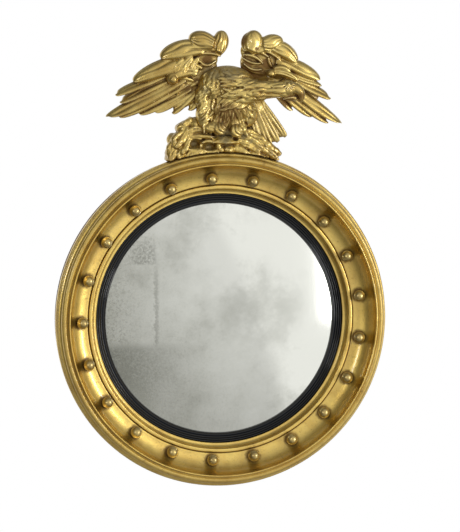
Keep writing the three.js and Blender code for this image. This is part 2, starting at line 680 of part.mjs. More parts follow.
// The space that the frame takes below the rockwork.
function frameRoom() {
  return turned([[0, -1], [felloeRadius + CARVING_GAP, -1], [felloeRadius + CARVING_GAP, bandBack - CARVING_GAP],
    [FRAME_RADIUS + CARVING_GAP, bandBack + EDGE_CHAMFER - CARVING_GAP],
    [FRAME_RADIUS + CARVING_GAP, frameFront + 1], [0, frameFront + 1]]);
}

function slab(outline, back, front) {
  const points = outline.map(([x, z]) => new THREE.Vector2(x * CREST_UNIT, z * CREST_UNIT));
  const geometry = new THREE.ExtrudeGeometry(new THREE.Shape(points), { depth: front - back, bevelEnabled: false });
  return solidOf(geometry.rotateX(Math.PI / 2).translate(0, -back, FRAME_RADIUS));
}

function rockwork() {
  const back = STRAP_SETBACK + STRAP_THICKNESS + FIT_GAP;
  const step = ROCK_STEP * CREST_UNIT;
  const rough = joined([slab(ROCK_BACK_OUTLINE, back, step + 1), slab(ROCK_OUTLINE, step, ROCK_FRONT * CREST_UNIT),
    ...ROCK_LUMPS.map((l) => lump(l))]);
  const behind = block([-FRAME_RADIUS, -FRAME_RADIUS, 0], [FRAME_RADIUS, back, 2 * FRAME_RADIUS]);
  return geometryOf(rough.subtract(joined([solidOf(frameRoom()), solidOf(behind), eagleBody(CARVING_GAP),
    eagleTail(CARVING_GAP), screwHoles(strapScrews), ...ROCK_HOLLOWS.map((l) => lump(l))])));
}

// ---------------------------------------------------------------- the whole

const mirror = new THREE.Group();

function place(name, geometry, color, roughness, metalness) {
  const surface = new THREE.MeshStandardMaterial({ color, roughness, metalness });
  const mesh = new THREE.Mesh(closed(geometry), surface);
  mesh.name = name;
  mirror.add(mesh);
}

const gilt = [gold, 0.42, 0.85];
const pine = [wood, 0.8, 0];
const steel = [iron, 0.55, 0.8];

felloes().forEach((felloe, i) => place(`back_ring_segment_${i + 1}`, felloe, ...pine));
place('front_moulding', frontMoulding(), ...gilt);
place('inner_moulding', innerMoulding(), ...gilt);
place('ebonised_slip', slip(), black, 0.4, 0);
place('convex_glass', convexGlass(), silver, 0.08, 1);
ballAngles.forEach((angle, i) => {
  place(`ball_${String(i + 1).padStart(2, '0')}`, onBallCircle(ball(), angle), ...gilt);
});
for (let i = 0; i < BLOCK_COUNT; i += 1) place(`glazing_block_${i + 1}`, glazingBlock(i), ...pine);
backboards().forEach((board, i) => place(`backboard_plank_${i + 1}`, board, ...pine));
boardScrews.forEach((at, i) => place(`backboard_screw_${i + 1}`, screw(at), ...steel));
for (const [name, side] of [['left', -1], ['right', 1]]) {
  place(`hanger_plate_${name}`, hangerPlate(side), brass, 0.45, 0.9);
  place(`hanger_ring_${name}`, hangerRing(side), brass, 0.4, 0.9);
}
hangerScrews.forEach((at, i) => place(`hanger_screw_${i + 1}`, screw(at), ...steel));
place('crest_strap', crestStrap(), ...steel);
strapScrews.forEach((at, i) => place(`strap_screw_${i + 1}`, screw(at), ...steel));
place('rockwork_base', rockwork(), ...gilt);
place('eagle_body', geometryOf(eagleBody()), ...gilt);
place('eagle_tail', geometryOf(eagleTail().subtract(eagleBody(CARVING_GAP))), ...gilt);
place('eagle_wing_left', wing(LEFT_WING), ...gilt);
place('eagle_wing_right', wing(RIGHT_WING), ...gilt);

export default mirror;
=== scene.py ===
"""A gilt convex mirror with a carved eagle on rockwork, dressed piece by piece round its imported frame."""
import math
import random
import bpy
import numpy as np
from mathutils import Matrix, Vector


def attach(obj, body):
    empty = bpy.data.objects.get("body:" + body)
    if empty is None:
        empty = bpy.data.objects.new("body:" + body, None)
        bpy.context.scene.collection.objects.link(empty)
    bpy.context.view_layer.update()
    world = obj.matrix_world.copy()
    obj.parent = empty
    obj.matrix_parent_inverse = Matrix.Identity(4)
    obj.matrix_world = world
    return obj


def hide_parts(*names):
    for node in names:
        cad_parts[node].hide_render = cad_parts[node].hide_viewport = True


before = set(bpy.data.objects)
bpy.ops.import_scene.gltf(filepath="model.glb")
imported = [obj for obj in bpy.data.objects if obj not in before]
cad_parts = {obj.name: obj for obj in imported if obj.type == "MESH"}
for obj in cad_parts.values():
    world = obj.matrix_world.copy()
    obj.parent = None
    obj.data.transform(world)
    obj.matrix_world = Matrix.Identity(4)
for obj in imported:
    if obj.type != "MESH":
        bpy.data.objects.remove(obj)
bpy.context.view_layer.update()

# ---------------------------------------------------------------- the room
# The mirror hangs clear over a plain pale floor that runs back into a white sweep. A soft key
# lamp stands to the right of the camera, a weaker one to the left, and the room is dim below.

MM = 0.001
WHITE = (1, 1, 1, 1)


def linear(code):
    """An sRGB hex colour as the linear values that Blender's sockets take."""
    parts = [int(code[i:i + 2], 16) / 255 for i in (1, 3, 5)]
    return (*[p / 12.92 if p <= 0.04045 else ((p + 0.055) / 1.055) ** 2.4 for p in parts], 1.0)


def node(tree, kind, inputs=None, **settings):
    """Adds a node, with its settings and with its inputs given as values or as sockets to link."""
    made = tree.nodes.new(kind)
    for name, value in settings.items():
        setattr(made, name, value)
    for name, value in (inputs or {}).items():
        if isinstance(value, bpy.types.NodeSocket):
            tree.links.new(value, made.inputs[name])
        else:
            made.inputs[name].default_value = value
    return made


def ramp(tree, value, low, high, start=0.0, end=1.0, smooth=True):
    """A value mapped from one range to another, clamped, with soft ends unless told otherwise."""
    return node(tree, "ShaderNodeMapRange", {"Value": value, "From Min": low, "From Max": high, "To Min": start,
                                             "To Max": end},
                interpolation_type="SMOOTHSTEP" if smooth else "LINEAR").outputs["Result"]


def maths(tree, operation, first, *others, clamp=False):
    """An arithmetic step, done again for each further value or socket."""
    for other in others or (0.5,):
        step = node(tree, "ShaderNodeMath", {0: first, 1: other}, operation=operation, use_clamp=clamp)
        first = step.outputs["Value"]
    return first


def vector(tree, operation, a, b=(0, 0, 0)):
    """A step with vectors, which gives a value for a length, a distance or a dot product."""
    gives = "Value" if operation in ("LENGTH", "DISTANCE", "DOT_PRODUCT") else "Vector"
    return node(tree, "ShaderNodeVectorMath", {0: a, 1: b}, operation=operation).outputs[gives]


def axes(tree, place):
    """The three parts of a vector."""
    return [node(tree, "ShaderNodeSeparateXYZ", {"Vector": place}).outputs[axis] for axis in "XYZ"]


def only(piece):
    """Selects one object and makes it active."""
    bpy.ops.object.select_all(action="DESELECT")
    piece.select_set(True)
    bpy.context.view_layer.objects.active = piece


camera_data = bpy.data.cameras.new("camera")
camera_data.lens = 221.94
camera_data.clip_end = 400
camera = bpy.data.objects.new("camera", camera_data)
bpy.context.scene.collection.objects.link(camera)
camera.location = (-1.140, -5.857, 0.648)
camera.rotation_euler = (math.radians(84.69), 0, math.radians(-11.24))
bpy.context.scene.camera = camera
bpy.context.scene.view_settings.view_transform = "Standard"

# Two narrow soft boxes, about 40 degrees to the right and left of the mirror, level with the
# upper half of its frame and with its crest.
for name, place, size, power in (("key lamp", (1.95, -2.05, 0.20), (0.55, 1.05), 18),
                                 ("fill lamp", (-1.63, -2.25, 0.42), (0.40, 0.55), 6.5)):
    bpy.ops.object.light_add(type="AREA", location=place)
    lamp = bpy.context.object
    lamp.name = name
    lamp.data.shape = "RECTANGLE"
    lamp.data.size, lamp.data.size_y = size
    lamp.data.energy = power
    lamp.rotation_euler = (-Vector(place)).to_track_quat("-Z", "Y").to_euler()

# White behind the mirror; in front a dim room with a big white screen to the right, whose left
# edge shows in the glass.
world = bpy.data.worlds.new("studio")
bpy.context.scene.world = world
world.use_nodes = True
sky = world.node_tree
sky.nodes.clear()
direction = node(sky, "ShaderNodeTexCoord").outputs["Generated"]
room = ramp(sky, vector(sky, "DOT_PRODUCT", direction, (0.27, -0.84, 0.18)), 0.20, 0.92, 0.15, 0.90, smooth=False)
rightward, backward, upward = axes(sky, direction)
bearing = maths(sky, "ARCTAN2", rightward, maths(sky, "MULTIPLY", backward, -1.0))
leaning = maths(sky, "ADD", bearing, maths(sky, "MULTIPLY", upward, 0.42))
screen = maths(sky, "MULTIPLY", ramp(sky, leaning, 0.27, 0.34), ramp(sky, bearing, 1.25, 1.0),
               ramp(sky, upward, -0.62, -0.52), ramp(sky, upward, 0.62, 0.45))
light = room
for share, brightness in ((screen, 1.06), (ramp(sky, backward, 0.25, 0.7), 1.0)):
    light = node(sky, "ShaderNodeMix", {"Factor": share, "A": light, "B": brightness},
                 data_type="FLOAT").outputs["Result"]
background = node(sky, "ShaderNodeBackground", {"Color": WHITE, "Strength": light})
node(sky, "ShaderNodeOutputWorld", {"Surface": background.outputs["Background"]})


def material(name):
    """A new material and its empty tree."""
    made = bpy.data.materials.new(name)
    made.use_nodes = True
    made.node_tree.nodes.clear()
    return made, made.node_tree


FLOOR_HEIGHT, FLOOR_REACH, FLOOR_IN_FRONT = -0.9, 150, 0.4
bpy.ops.mesh.primitive_circle_add(vertices=96, radius=FLOOR_REACH, fill_type="NGON",
                                  location=(0, FLOOR_REACH - FLOOR_IN_FRONT, FLOOR_HEIGHT))
floor = bpy.context.object
floor.name = "floor"
paper, tree = material("studio paper")  # painted paper: matt, grey near the mirror, white far behind
far_back = axes(tree, node(tree, "ShaderNodeNewGeometry").outputs["Position"])[1]
matt = node(tree, "ShaderNodeBsdfDiffuse", {"Color": linear("#d6d4d0")})
white = node(tree, "ShaderNodeEmission", {"Color": WHITE, "Strength": 1.0})
sheet = node(tree, "ShaderNodeMixShader", {0: ramp(tree, far_back, 0.6, 2.2), 1: matt.outputs["BSDF"],
                                           2: white.outputs["Emission"]})
node(tree, "ShaderNodeOutputMaterial", {"Surface": sheet.outputs["Shader"]})
floor.data.materials.append(paper)

# ---------------------------------------------------------------- front moulding
# One turned ring of pine under gesso, bole and water gilding: a set-back band and widest edge,
# three reeds up its side, a torus, a bright fillet and the deep hollow that holds the balls.

FRAME_RADIUS = 305
TURNING_STEPS = 252
BALL_RADIUS, BALL_CIRCLE, BALL_HEIGHT, BALL_COUNT, FIRST_BALL = 10.3, 257.0, 54.4, 21, -4.44


def own_place(tree):
    """A piece's own coordinates, which are those of the whole mirror."""
    return node(tree, "ShaderNodeTexCoord").outputs["Object"]


def noise(tree, place, scale, detail, roughness=0.5, distortion=0.0):
    """Cloudy noise from 0 to 1."""
    return node(tree, "ShaderNodeTexNoise", {"Vector": place, "Scale": scale, "Detail": detail, "Roughness": roughness,
                                             "Distortion": distortion}).outputs["Fac"]


def mix(tree, share, first, second):
    """Two colours, each a hex code or a socket, mixed by the share of the second."""
    first, second = [linear(colour) if isinstance(colour, str) else colour for colour in (first, second)]
    return node(tree, "ShaderNodeMix", {"Factor": share, "A": first, "B": second}, data_type="RGBA").outputs["Result"]


def bump(tree, height, strength, distance):
    """Fine relief from a height, up to a distance in metres."""
    relief = node(tree, "ShaderNodeBump", {"Height": height, "Strength": strength, "Distance": distance})
    return relief.outputs["Normal"]


def shade(tree, inputs):
    """Ends a material's tree with one shader."""
    shader = node(tree, "ShaderNodeBsdfPrincipled", inputs)
    node(tree, "ShaderNodeOutputMaterial", {"Surface": shader.outputs["BSDF"]})


def ball_dirt_and_shadow(tree, place, spots):
    """Dirt and a painted shadow ring round the foot of each ball, placed by turning round the ring of balls."""
    right, _, up = axes(tree, place)
    turn = maths(tree, "SUBTRACT", maths(tree, "ARCTAN2", right, up), math.radians(FIRST_BALL))
    steps = maths(tree, "MULTIPLY", turn, BALL_COUNT / (2 * math.pi))
    off = maths(tree, "SUBTRACT", steps, maths(tree, "ROUND", steps))
    sideways = maths(tree, "MULTIPLY", off, 2 * math.pi * BALL_CIRCLE / BALL_COUNT * MM)
    radius = vector(tree, "LENGTH", vector(tree, "MULTIPLY", place, (1, 0, 1)))
    outward = maths(tree, "SUBTRACT", radius, (BALL_CIRCLE + 1.5) * MM)
    offset = node(tree, "ShaderNodeCombineXYZ", {"X": sideways, "Y": outward}).outputs["Vector"]
    ragged = maths(tree, "MULTIPLY", maths(tree, "SUBTRACT", spots, 0.5), 9 * MM)
    away = maths(tree, "ADD", vector(tree, "LENGTH", offset), ragged)
    return ramp(tree, away, 16.5 * MM, 10 * MM, end=0.85)


def gilding(name, pale, deep, bole_and_shade_brown, dust, recess, open_sky=0.9, shut=0.4, rough=0.34, grain=0.18, crevice=0.95,
            crest_wear_and_highlight=1.0, coat=0.35, flecks=0.35, washed=0.0, bole_and_shade_spots=(), dusted=(), handled=None, with_balls=False):
    """Water gilding on a red clay ground: burnished leaf under a size. It goes brown where the leaf
    has worn through and dirt lies, and brown as painted shade in its recesses and creases, found by
    ambient occlusion and pointiness. Its crests are paler, partly worn gold and partly a painted
    highlight, and it is dusty where it faces up. The spots taken down to the brown, partly wear and
    partly painted shade in recesses, and the dusted ones are [right, above the frame, reach] in
    millimetres. A handled member is worn between two radii."""
    made, tree = material(name)
    place = own_place(tree)
    flat = vector(tree, "MULTIPLY", place, (1, 0, 1))
    surface = node(tree, "ShaderNodeNewGeometry")
    pointed = surface.outputs["Pointiness"]
    _, toward_wall, up = axes(tree, surface.outputs["Normal"])
    clouds = noise(tree, place, 24.0, 4.0, 0.55)
    spots = noise(tree, place, 130.0, 5.0, 0.65)
    gesso = noise(tree, place, 420.0, 3.0, 0.6)
    colour = mix(tree, ramp(tree, clouds, 0.34, 0.66, smooth=False), deep, pale)
    # Paler along the crests: partly gold worn smooth, partly a painted highlight.
    colour = mix(tree, ramp(tree, pointed, 0.51, 0.56, end=crest_wear_and_highlight), colour, "#f0dfab")
    # Brown where the leaf is worn and dirt lies, and brown painted shade in recesses (ambient occlusion) and creases
    # (pointiness).
    ambient_occlusion = node(tree, "ShaderNodeAmbientOcclusion", {"Distance": recess * MM}, samples=8).outputs["AO"]
    worn_leaf_and_shade = maths(tree, "MAXIMUM", ramp(tree, ambient_occlusion, open_sky, shut, smooth=False),
                 ramp(tree, pointed, 0.492, 0.445, end=crevice), ramp(tree, spots, 0.57, 0.74, end=flecks),
                 ramp(tree, gesso, 0.60, 0.70, end=flecks), ramp(tree, clouds, 0.56, 0.72, end=0.6 * flecks))
    wander = maths(tree, "MULTIPLY", maths(tree, "SUBTRACT", clouds, 0.5), 30 * MM)
    in_front = ramp(tree, toward_wall, 0.3, -0.1)

    def near(places, most):
        """How near the surface lies to any of some places, up to a most, with ragged edges."""
        level = 0.0
        for right, above, reach in places:
            away = vector(tree, "DISTANCE", flat, (right * MM, 0, (FRAME_RADIUS + above) * MM))
            spot = ramp(tree, maths(tree, "ADD", away, wander), reach * MM, 0.4 * reach * MM, end=most)
            level = maths(tree, "MAXIMUM", level, spot)
        return maths(tree, "MULTIPLY", level, in_front)

    if handled:  # a turned member that hands and dusters have worn down toward the bole
        radius, (inner_edge, outer_edge) = vector(tree, "LENGTH", flat), handled
        worn = maths(tree, "MULTIPLY", ramp(tree, radius, (inner_edge - 1) * MM, (inner_edge + 1.5) * MM, end=0.30),
                     ramp(tree, radius, (outer_edge + 1) * MM, (outer_edge - 1.5) * MM))
        worn_leaf_and_shade = maths(tree, "ADD", worn_leaf_and_shade, worn, clamp=True)
    # Listed spots go brown where the leaf is worn and, in recesses such as the mouth and between body and wing, as
    # painted shade; raised edges keep gold.
    if bole_and_shade_spots:
        low = ramp(tree, pointed, 0.535, 0.50, start=0.3)
        worn_leaf_and_shade = maths(tree, "MAXIMUM", worn_leaf_and_shade, maths(tree, "MULTIPLY", near(bole_and_shade_spots, 0.85), low))
    # Dirt and a painted shadow ring round the foot of each ball.
    if with_balls:
        worn_leaf_and_shade = maths(tree, "MAXIMUM", worn_leaf_and_shade, ball_dirt_and_shadow(tree, place, spots))
    dusty = maths(tree, "MULTIPLY", ramp(tree, up, 0.35, 0.95, end=dust), ramp(tree, spots, 0.3, 0.6, 0.45))
    if dusted:
        lying = maths(tree, "MULTIPLY", near(dusted, 0.9), ramp(tree, spots, 0.3, 0.6, 0.4))
        dusty = maths(tree, "MAXIMUM", dusty, lying)
    colour = mix(tree, dusty, mix(tree, worn_leaf_and_shade, colour, bole_and_shade_brown), "#91835c")
    dull = maths(tree, "MAXIMUM", dusty, worn_leaf_and_shade)
    leafed = 1.0
    if washed:  # ochre in size on the gesso of the back, which is never gilded
        behind = ramp(tree, toward_wall, 0.25, 0.6, end=washed)
        leafed = maths(tree, "SUBTRACT", 1.0, behind)
        colour = mix(tree, behind, colour, mix(tree, spots, "#8d6a38", "#b08d55"))
        dull = maths(tree, "MAXIMUM", dull, behind)
    shade(tree, {"Base Color": colour, "Roughness": ramp(tree, dull, 0.0, 1.0, rough, 0.6, smooth=False),
                 "Metallic": maths(tree, "MULTIPLY", ramp(tree, dull, 0.0, 1.0, 1.0, 0.45, smooth=False), leafed),
                 "Normal": bump(tree, maths(tree, "ADD", spots, gesso), grain, 0.0012),
                 "Coat Weight": ramp(tree, dull, 0.0, 0.8, coat, 0.04, smooth=False), "Coat Roughness": 0.15,
                 "Coat IOR": 1.8})
    return made


def new_piece(name, points, faces, edges=()):
    """A new object from points in metres."""
    mesh = bpy.data.meshes.new(name)
    mesh.from_pydata(points, edges, faces)
    piece = bpy.data.objects.new(name, mesh)
    bpy.context.scene.collection.objects.link(piece)
    return piece


def face_outward(piece):
    """Turns the faces of a closed piece outward."""
    only(piece)
    bpy.ops.object.mode_set(mode="EDIT")
    bpy.ops.mesh.select_all(action="SELECT")
    bpy.ops.mesh.normals_make_consistent(inside=False)
    bpy.ops.object.mode_set(mode="OBJECT")


def smooth_below(piece, degrees):
    """Shades a piece smooth, except over edges sharper than an angle."""
    only(piece)
    bpy.ops.object.shade_smooth_by_angle(angle=math.radians(degrees))


def turned(name, profile, steps=TURNING_STEPS, sweep=360.0, start=0.0):
    """A closed profile of [radius, height from the wall] in millimetres, turned about the Y axis
    from an angle clockwise from the top, as on a lathe."""
    first = math.radians(start)
    places = [(r * MM * math.sin(first), -h * MM, r * MM * math.cos(first)) for r, h in profile]
    piece = new_piece(name, places, [], [(i, (i + 1) % len(places)) for i in range(len(places))])
    only(piece)
    bpy.ops.object.mode_set(mode="EDIT")
    bpy.ops.mesh.select_all(action="SELECT")
    bpy.ops.mesh.spin(steps=steps, angle=math.radians(sweep), center=(0, 0, 0), axis=(0, -1, 0))
    bpy.ops.mesh.select_all(action="SELECT")
    bpy.ops.mesh.remove_doubles(threshold=1e-6)
    if sweep < 360:
        bpy.ops.mesh.select_all(action="DESELECT")
        bpy.ops.mesh.select_non_manifold()
        bpy.ops.mesh.fill_holes(sides=0)
    bpy.ops.object.mode_set(mode="OBJECT")
    face_outward(piece)
    smooth_below(piece, 38)
    return piece


def arc(middle, reach, start, end, steps):
    """Points of an elliptical arc in a profile, in degrees from the outward radius."""
    angles = [math.radians(start + (end - start) * i / steps) for i in range(steps + 1)]
    return [(middle[0] + reach[0] * math.cos(a), middle[1] + reach[1] * math.sin(a)) for a in angles]


def reeds(begin, end, count, rise, steps=7):
    """Half-round reeds with sharp quirks between them, on the right of a straight run."""
    (r0, h0), (r1, h1) = begin, end
    run = math.hypot(r1 - r0, h1 - h0)
    out = ((h1 - h0) / run, -(r1 - r0) / run)
    points = []
    for i in range(count):
        for k in range(steps + 1):
            t = k / steps
            along = (i + 0.06 + 0.88 * t) / count
            proud = rise * (math.sin(math.pi * t) ** 0.75) if 0 < k < steps else -0.35
            points.append((r0 + (r1 - r0) * along + out[0] * proud, h0 + (h1 - h0) * along + out[1] * proud))
    return points


def dress(piece, finish, slot, *nodes, body="mirror"):
    """Gives a piece its material and its body, and hides the CAD nodes that it stands for."""
    piece.data.materials.clear()
    piece.data.materials.append(finish)
    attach(piece, body)
    if nodes:
        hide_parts(*nodes)


# The turned work takes painted shade in its creases and round the balls, besides dirt and wear.
frame_gilding = gilding("water gilding on turned gesso", pale="#edcd69", deep="#cfaa4c", bole_and_shade_brown="#5f4019", dust=0.12,
                        recess=4.0, rough=0.36, crevice=0.7, crest_wear_and_highlight=0.0, coat=0.65, flecks=0.42,
                        handled=(287.6, 297.0), with_balls=True)
moulding = turned("turned_front_moulding", [
    (300, 30), (300, 37), (301, 37.6), (303.9, 38.4), (304.8, 40.2), (304.8, 45.6), (303.9, 47.4), (303.0, 47.9),
    *reeds((303.4, 48.2), (299.9, 58.6), 3, 1.2),
    (298.4, 59.4), (296.8, 60.8), (296.6, 62.4),
    *arc((291.5, 65.6), (5.9, 5.9), -12, 118, 18),
    (287.4, 69.9), (286.3, 69.4), (285.2, 69.4), (284.6, 70.0), (284.2, 74.8), (283.7, 75.8), (283.0, 76.0),
    (282.3, 75.8), (281.9, 75.0), (281.3, 73.4),
    *arc((244.7, 74), (36.6, -33.7), 2, 86.5, 26),
    (245.7, 39.9), (244.8, 38.8), (244.7, 30)])
dress(moulding, frame_gilding, "gilt_wood", "front_moulding")

# ---------------------------------------------------------------- gilt inner moulding
# A second turned ring dropped into the foot of the hollow. Its bright flat fillet and steep cove
# lead down to the black slip, and its lip traps the slip against the glazing blocks.

inner = turned("turned_inner_moulding", [
    (228.5, 25.4), (235.7, 25.4), (235.7, 30), (244.4, 30), (244.4, 38.8), (244.0, 41.8), (243.5, 42.7), (242.8, 43.0),
    (238.8, 43.0), (238.1, 42.7), (237.8, 41.9),
    *arc((230.4, 41.3), (6.8, -12), 4, 90, 12), (228.9, 29.2), (228.5, 28.6)])
dress(inner, frame_gilding, "gilt_wood", "inner_moulding")

# ---------------------------------------------------------------- ebonised slip
# Fruitwood stained black and polished: three fine reeds and a plain slope down to the glass. The
# polish has a soft blue-black sheen and is rubbed brown along the reeds.

ebony, tree = material("ebonised fruitwood")
place = own_place(tree)
smears, wear = noise(tree, place, 60.0, 4.0), noise(tree, place, 190.0, 4.0, 0.7)
black = mix(tree, smears, "#04070a", "#0b1016")
shade(tree, {"Base Color": mix(tree, ramp(tree, wear, 0.6, 0.75, end=0.5, smooth=False), black, "#241d17"),
             "Roughness": ramp(tree, smears, 0, 1, 0.05, 0.10, smooth=False),
             "Normal": bump(tree, wear, 0.05, 0.0008), "IOR": 1.5, "Specular IOR Level": 0.45})

REED_TOP, REED_PITCH, REED_WIDTH, REED_FOOT, REED_HEIGHT = 228.1, 3.9, 3.5, 24.2, 3.2
reeded = []
for i in range(3):  # each reed is an arch of seven points between two quirks
    outer = REED_TOP - REED_PITCH * i
    reeded.append((outer - 0.25, 22.6))
    for k in range(7):
        reeded.append((outer - REED_WIDTH * (k + 0.5) / 7, REED_FOOT + REED_HEIGHT * k / 6 * (1 - k / 6)))
    reeded.append((outer - REED_WIDTH * 7.5 / 7, 22.6))
slip = turned("ebonised_reeded_slip", [
    (235.4, 16), (235.4, 25.1), (229.0, 25.1), (228.2, 24.4), *reeded,
    (216.1, 22.8), (215.0, 23.4), (213.2, 23.2), (212.2, 23.9), (211.4, 24.0), (210.8, 23.6), (210.6, 22.8),
    (210.6, 21.9), (222.6, 19.3), (222.6, 16)])
dress(slip, ebony, "ebonised_wood", "ebonised_slip")

# ---------------------------------------------------------------- convex glass
# Old convex plate silvered with tin and mercury. The silver has clouded and foxed grey, more at
# the lower left, so it gives back a soft pale reflection of the room. Some grey marks are painted
# reflections of edges in the room: a dark band over the lower left, an upright line on the left
# and a corner above it.

GLASS_RADIUS, GLASS_RISE, GLASS_EDGE, GLASS_THICKNESS = 222.0, 25.0, 19.0, 3.0
silver, tree = material("foxed tin and mercury silvering")
place = own_place(tree)
clouding, specks = noise(tree, place, 11.0, 6.0, 0.62), noise(tree, place, 240.0, 4.0, 0.8)
leftward = vector(tree, "DOT_PRODUCT", place, (-2.0, 0.0, -1.1))
foxed = ramp(tree, maths(tree, "ADD", clouding, leftward), 0.3, 1.05, smooth=False)
marks = maths(tree, "MULTIPLY", foxed, ramp(tree, specks, 0.5, 0.72, end=0.5, smooth=False))
aged = maths(tree, "ADD", foxed, marks, clamp=True)
x_place, _, z_place = axes(tree, place)
ragged = maths(tree, "MULTIPLY", maths(tree, "SUBTRACT", specks, 0.5), 24 * MM)
from_left = maths(tree, "ADD", x_place, ragged)


def between(value, low, high, **settings):
    """A value in metres mapped between two limits in millimetres, in the tree of the silvering."""
    return ramp(tree, value, low * MM, high * MM, **settings)


def away_from(right, forward, above):
    """The distance from a place in millimetres, in the tree of the silvering."""
    return vector(tree, "DISTANCE", place, (right * MM, -forward * MM, above * MM))


# Painted reflection: darker below a ragged level edge over the lower left.
reflected_dark_below = maths(tree, "MULTIPLY", between(maths(tree, "ADD", z_place, ragged), -36, -56),
             between(z_place, -175, -95, start=0.35), between(from_left, -30, -190, end=0.75, smooth=False),
             ramp(tree, specks, 0.3, 0.6, 0.45))
# Painted reflection of an upright edge in the room, a thin grey line on the left.
run = maths(tree, "MULTIPLY", between(maths(tree, "ABSOLUTE", maths(tree, "ADD", from_left, 119 * MM)), 5.5, 0.5),
            between(z_place, -70, -40), between(z_place, 128, 60), 0.42)
# Painted reflection of a corner in the room, at the upper left.
corner = maths(tree, "MULTIPLY", between(away_from(-138, 28, 114), 54, 6, end=0.62), between(z_place, 98, 104),
               between(from_left, -114, -121), ramp(tree, specks, 0.35, 0.62))
cloud = maths(tree, "MULTIPLY", between(away_from(75, 40, 30), 120, 40), ramp(tree, clouding, 0.38, 0.66, end=0.26))
margin = maths(tree, "MULTIPLY", between(x_place, -140, -208), ramp(tree, specks, 0.46, 0.66, end=0.4))
stains_and_reflections = maths(tree, "MAXIMUM", reflected_dark_below, run, corner, cloud, margin, ramp(tree, clouding, 0.48, 0.68, end=0.17))
shade(tree, {"Base Color": mix(tree, stains_and_reflections, mix(tree, aged, "#e2e3db", "#b2b3a8"), "#74756a"),
             "Metallic": ramp(tree, aged, 0, 1, 0.92, 0.75, smooth=False),
             "Roughness": ramp(tree, aged, 0, 1, 0.09, 0.22, smooth=False),
             "Coat Weight": 0.4, "Coat Roughness": 0.05})

MIDDLE_HOLE = 0.6
sphere = (GLASS_RADIUS ** 2 + GLASS_RISE ** 2) / (2 * GLASS_RISE)
radii = [MIDDLE_HOLE + (GLASS_RADIUS - MIDDLE_HOLE) * i / 36 for i in range(37)]
dome = [(r, GLASS_EDGE + GLASS_RISE - (sphere - math.sqrt(sphere ** 2 - r ** 2))) for r in radii]
glass = turned("convex_silvered_glass", dome + [(r, h - GLASS_THICKNESS) for r, h in reversed(dome)])
half_way = -(GLASS_EDGE + GLASS_RISE - GLASS_THICKNESS / 2) * MM
for in_front in (True, False):  # the small hole at the middle of the turning is closed at both faces
    bpy.ops.object.mode_set(mode="EDIT")
    bpy.ops.mesh.select_all(action="DESELECT")
    bpy.ops.object.mode_set(mode="OBJECT")
    for vertex in glass.data.vertices:
        central = math.hypot(vertex.co.x, vertex.co.z) < (MIDDLE_HOLE + 0.1) * MM
        vertex.select = central and (vertex.co.y < half_way) == in_front
    bpy.ops.object.mode_set(mode="EDIT")
    bpy.ops.mesh.merge(type="CENTER")
    bpy.ops.object.mode_set(mode="OBJECT")
bpy.ops.object.mode_set(mode="EDIT")
bpy.ops.mesh.select_all(action="SELECT")
bpy.ops.mesh.delete_loose(use_verts=True, use_edges=True, use_faces=False)
bpy.ops.object.mode_set(mode="OBJECT")
dress(glass, silver, "silvered_glass", "convex_glass")

# ---------------------------------------------------------------- gilt balls
# Twenty-one turned balls, each gilded on its peg and glued into a hole in the hollow. Bole, dirt
# and a painted shadow show round their feet, and each catches the two lamps.

PEG_LENGTH = 9.5
ball_gilding = gilding("burnished gilding on turned balls", pale="#d0b66c", deep="#a68c4c", bole_and_shade_brown="#4a3315",
                       dust=0.3, recess=9.0, open_sky=0.85, shut=0.4, rough=0.32, coat=0.5)
bpy.ops.object.select_all(action="DESELECT")
bpy.ops.mesh.primitive_uv_sphere_add(segments=48, ring_count=24, radius=BALL_RADIUS * MM)
pattern_ball = bpy.context.object
bpy.ops.object.mode_set(mode="EDIT")
bpy.ops.mesh.select_all(action="DESELECT")
bpy.ops.object.mode_set(mode="OBJECT")
for face in pattern_ball.data.polygons:
    face.select = face.center.z > 0.93 * BALL_RADIUS * MM
bpy.ops.object.mode_set(mode="EDIT")
bpy.ops.mesh.extrude_region_move(TRANSFORM_OT_translate={"value": (0, 0, PEG_LENGTH * MM)})
bpy.ops.transform.resize(value=(0.85, 0.85, 0.1))
bpy.ops.object.mode_set(mode="OBJECT")
smooth_below(pattern_ball, 40)
pattern_ball.data.transform(Matrix.Rotation(-math.pi / 2, 4, "X"))
for i in range(BALL_COUNT):
    turn = math.radians(FIRST_BALL + i * 360 / BALL_COUNT)
    mesh = pattern_ball.data.copy()
    mesh.transform(Matrix.Translation((BALL_CIRCLE * math.sin(turn) * MM, -BALL_HEIGHT * MM,
                                       BALL_CIRCLE * math.cos(turn) * MM)) @ Matrix.Rotation(2.4 * i, 4, "Y"))
    ball = bpy.data.objects.new(f"gilt_ball_{i + 1:02d}", mesh)
    bpy.context.scene.collection.objects.link(ball)
    dress(ball, ball_gilding, "gilt_ball", f"ball_{i + 1:02d}")
bpy.data.objects.remove(pattern_ball)

# ---------------------------------------------------------------- rear ring
# Six pine felloes glued end to end, left bare behind: a rebate for the backboard, a pocket for
# each hanger and a recess for the crest strap. The wood has browned and gathered dirt.

FELLOE_COUNT, JOINT = 6, 0.07
THREAD_RADIUS, HEAD_HOLE_RADIUS = 2.2, 4.35
BOARD_SCREW_BACK, HANGER_SCREW_BACK, STRAP_SCREW_BACK = 1.0, 5.2, 0.7
BOARD_SCREWS = [(x, side * math.sqrt(249 ** 2 - x ** 2)) for x in (-164.2, 0, 164.2) for side in (-1, 1)]
HANGER_SCREWS = [(side * 275, z) for side in (-1, 1) for z in (62.5, 76.4)]
STRAP_SCREWS = [(0, 283), (0, 323)]


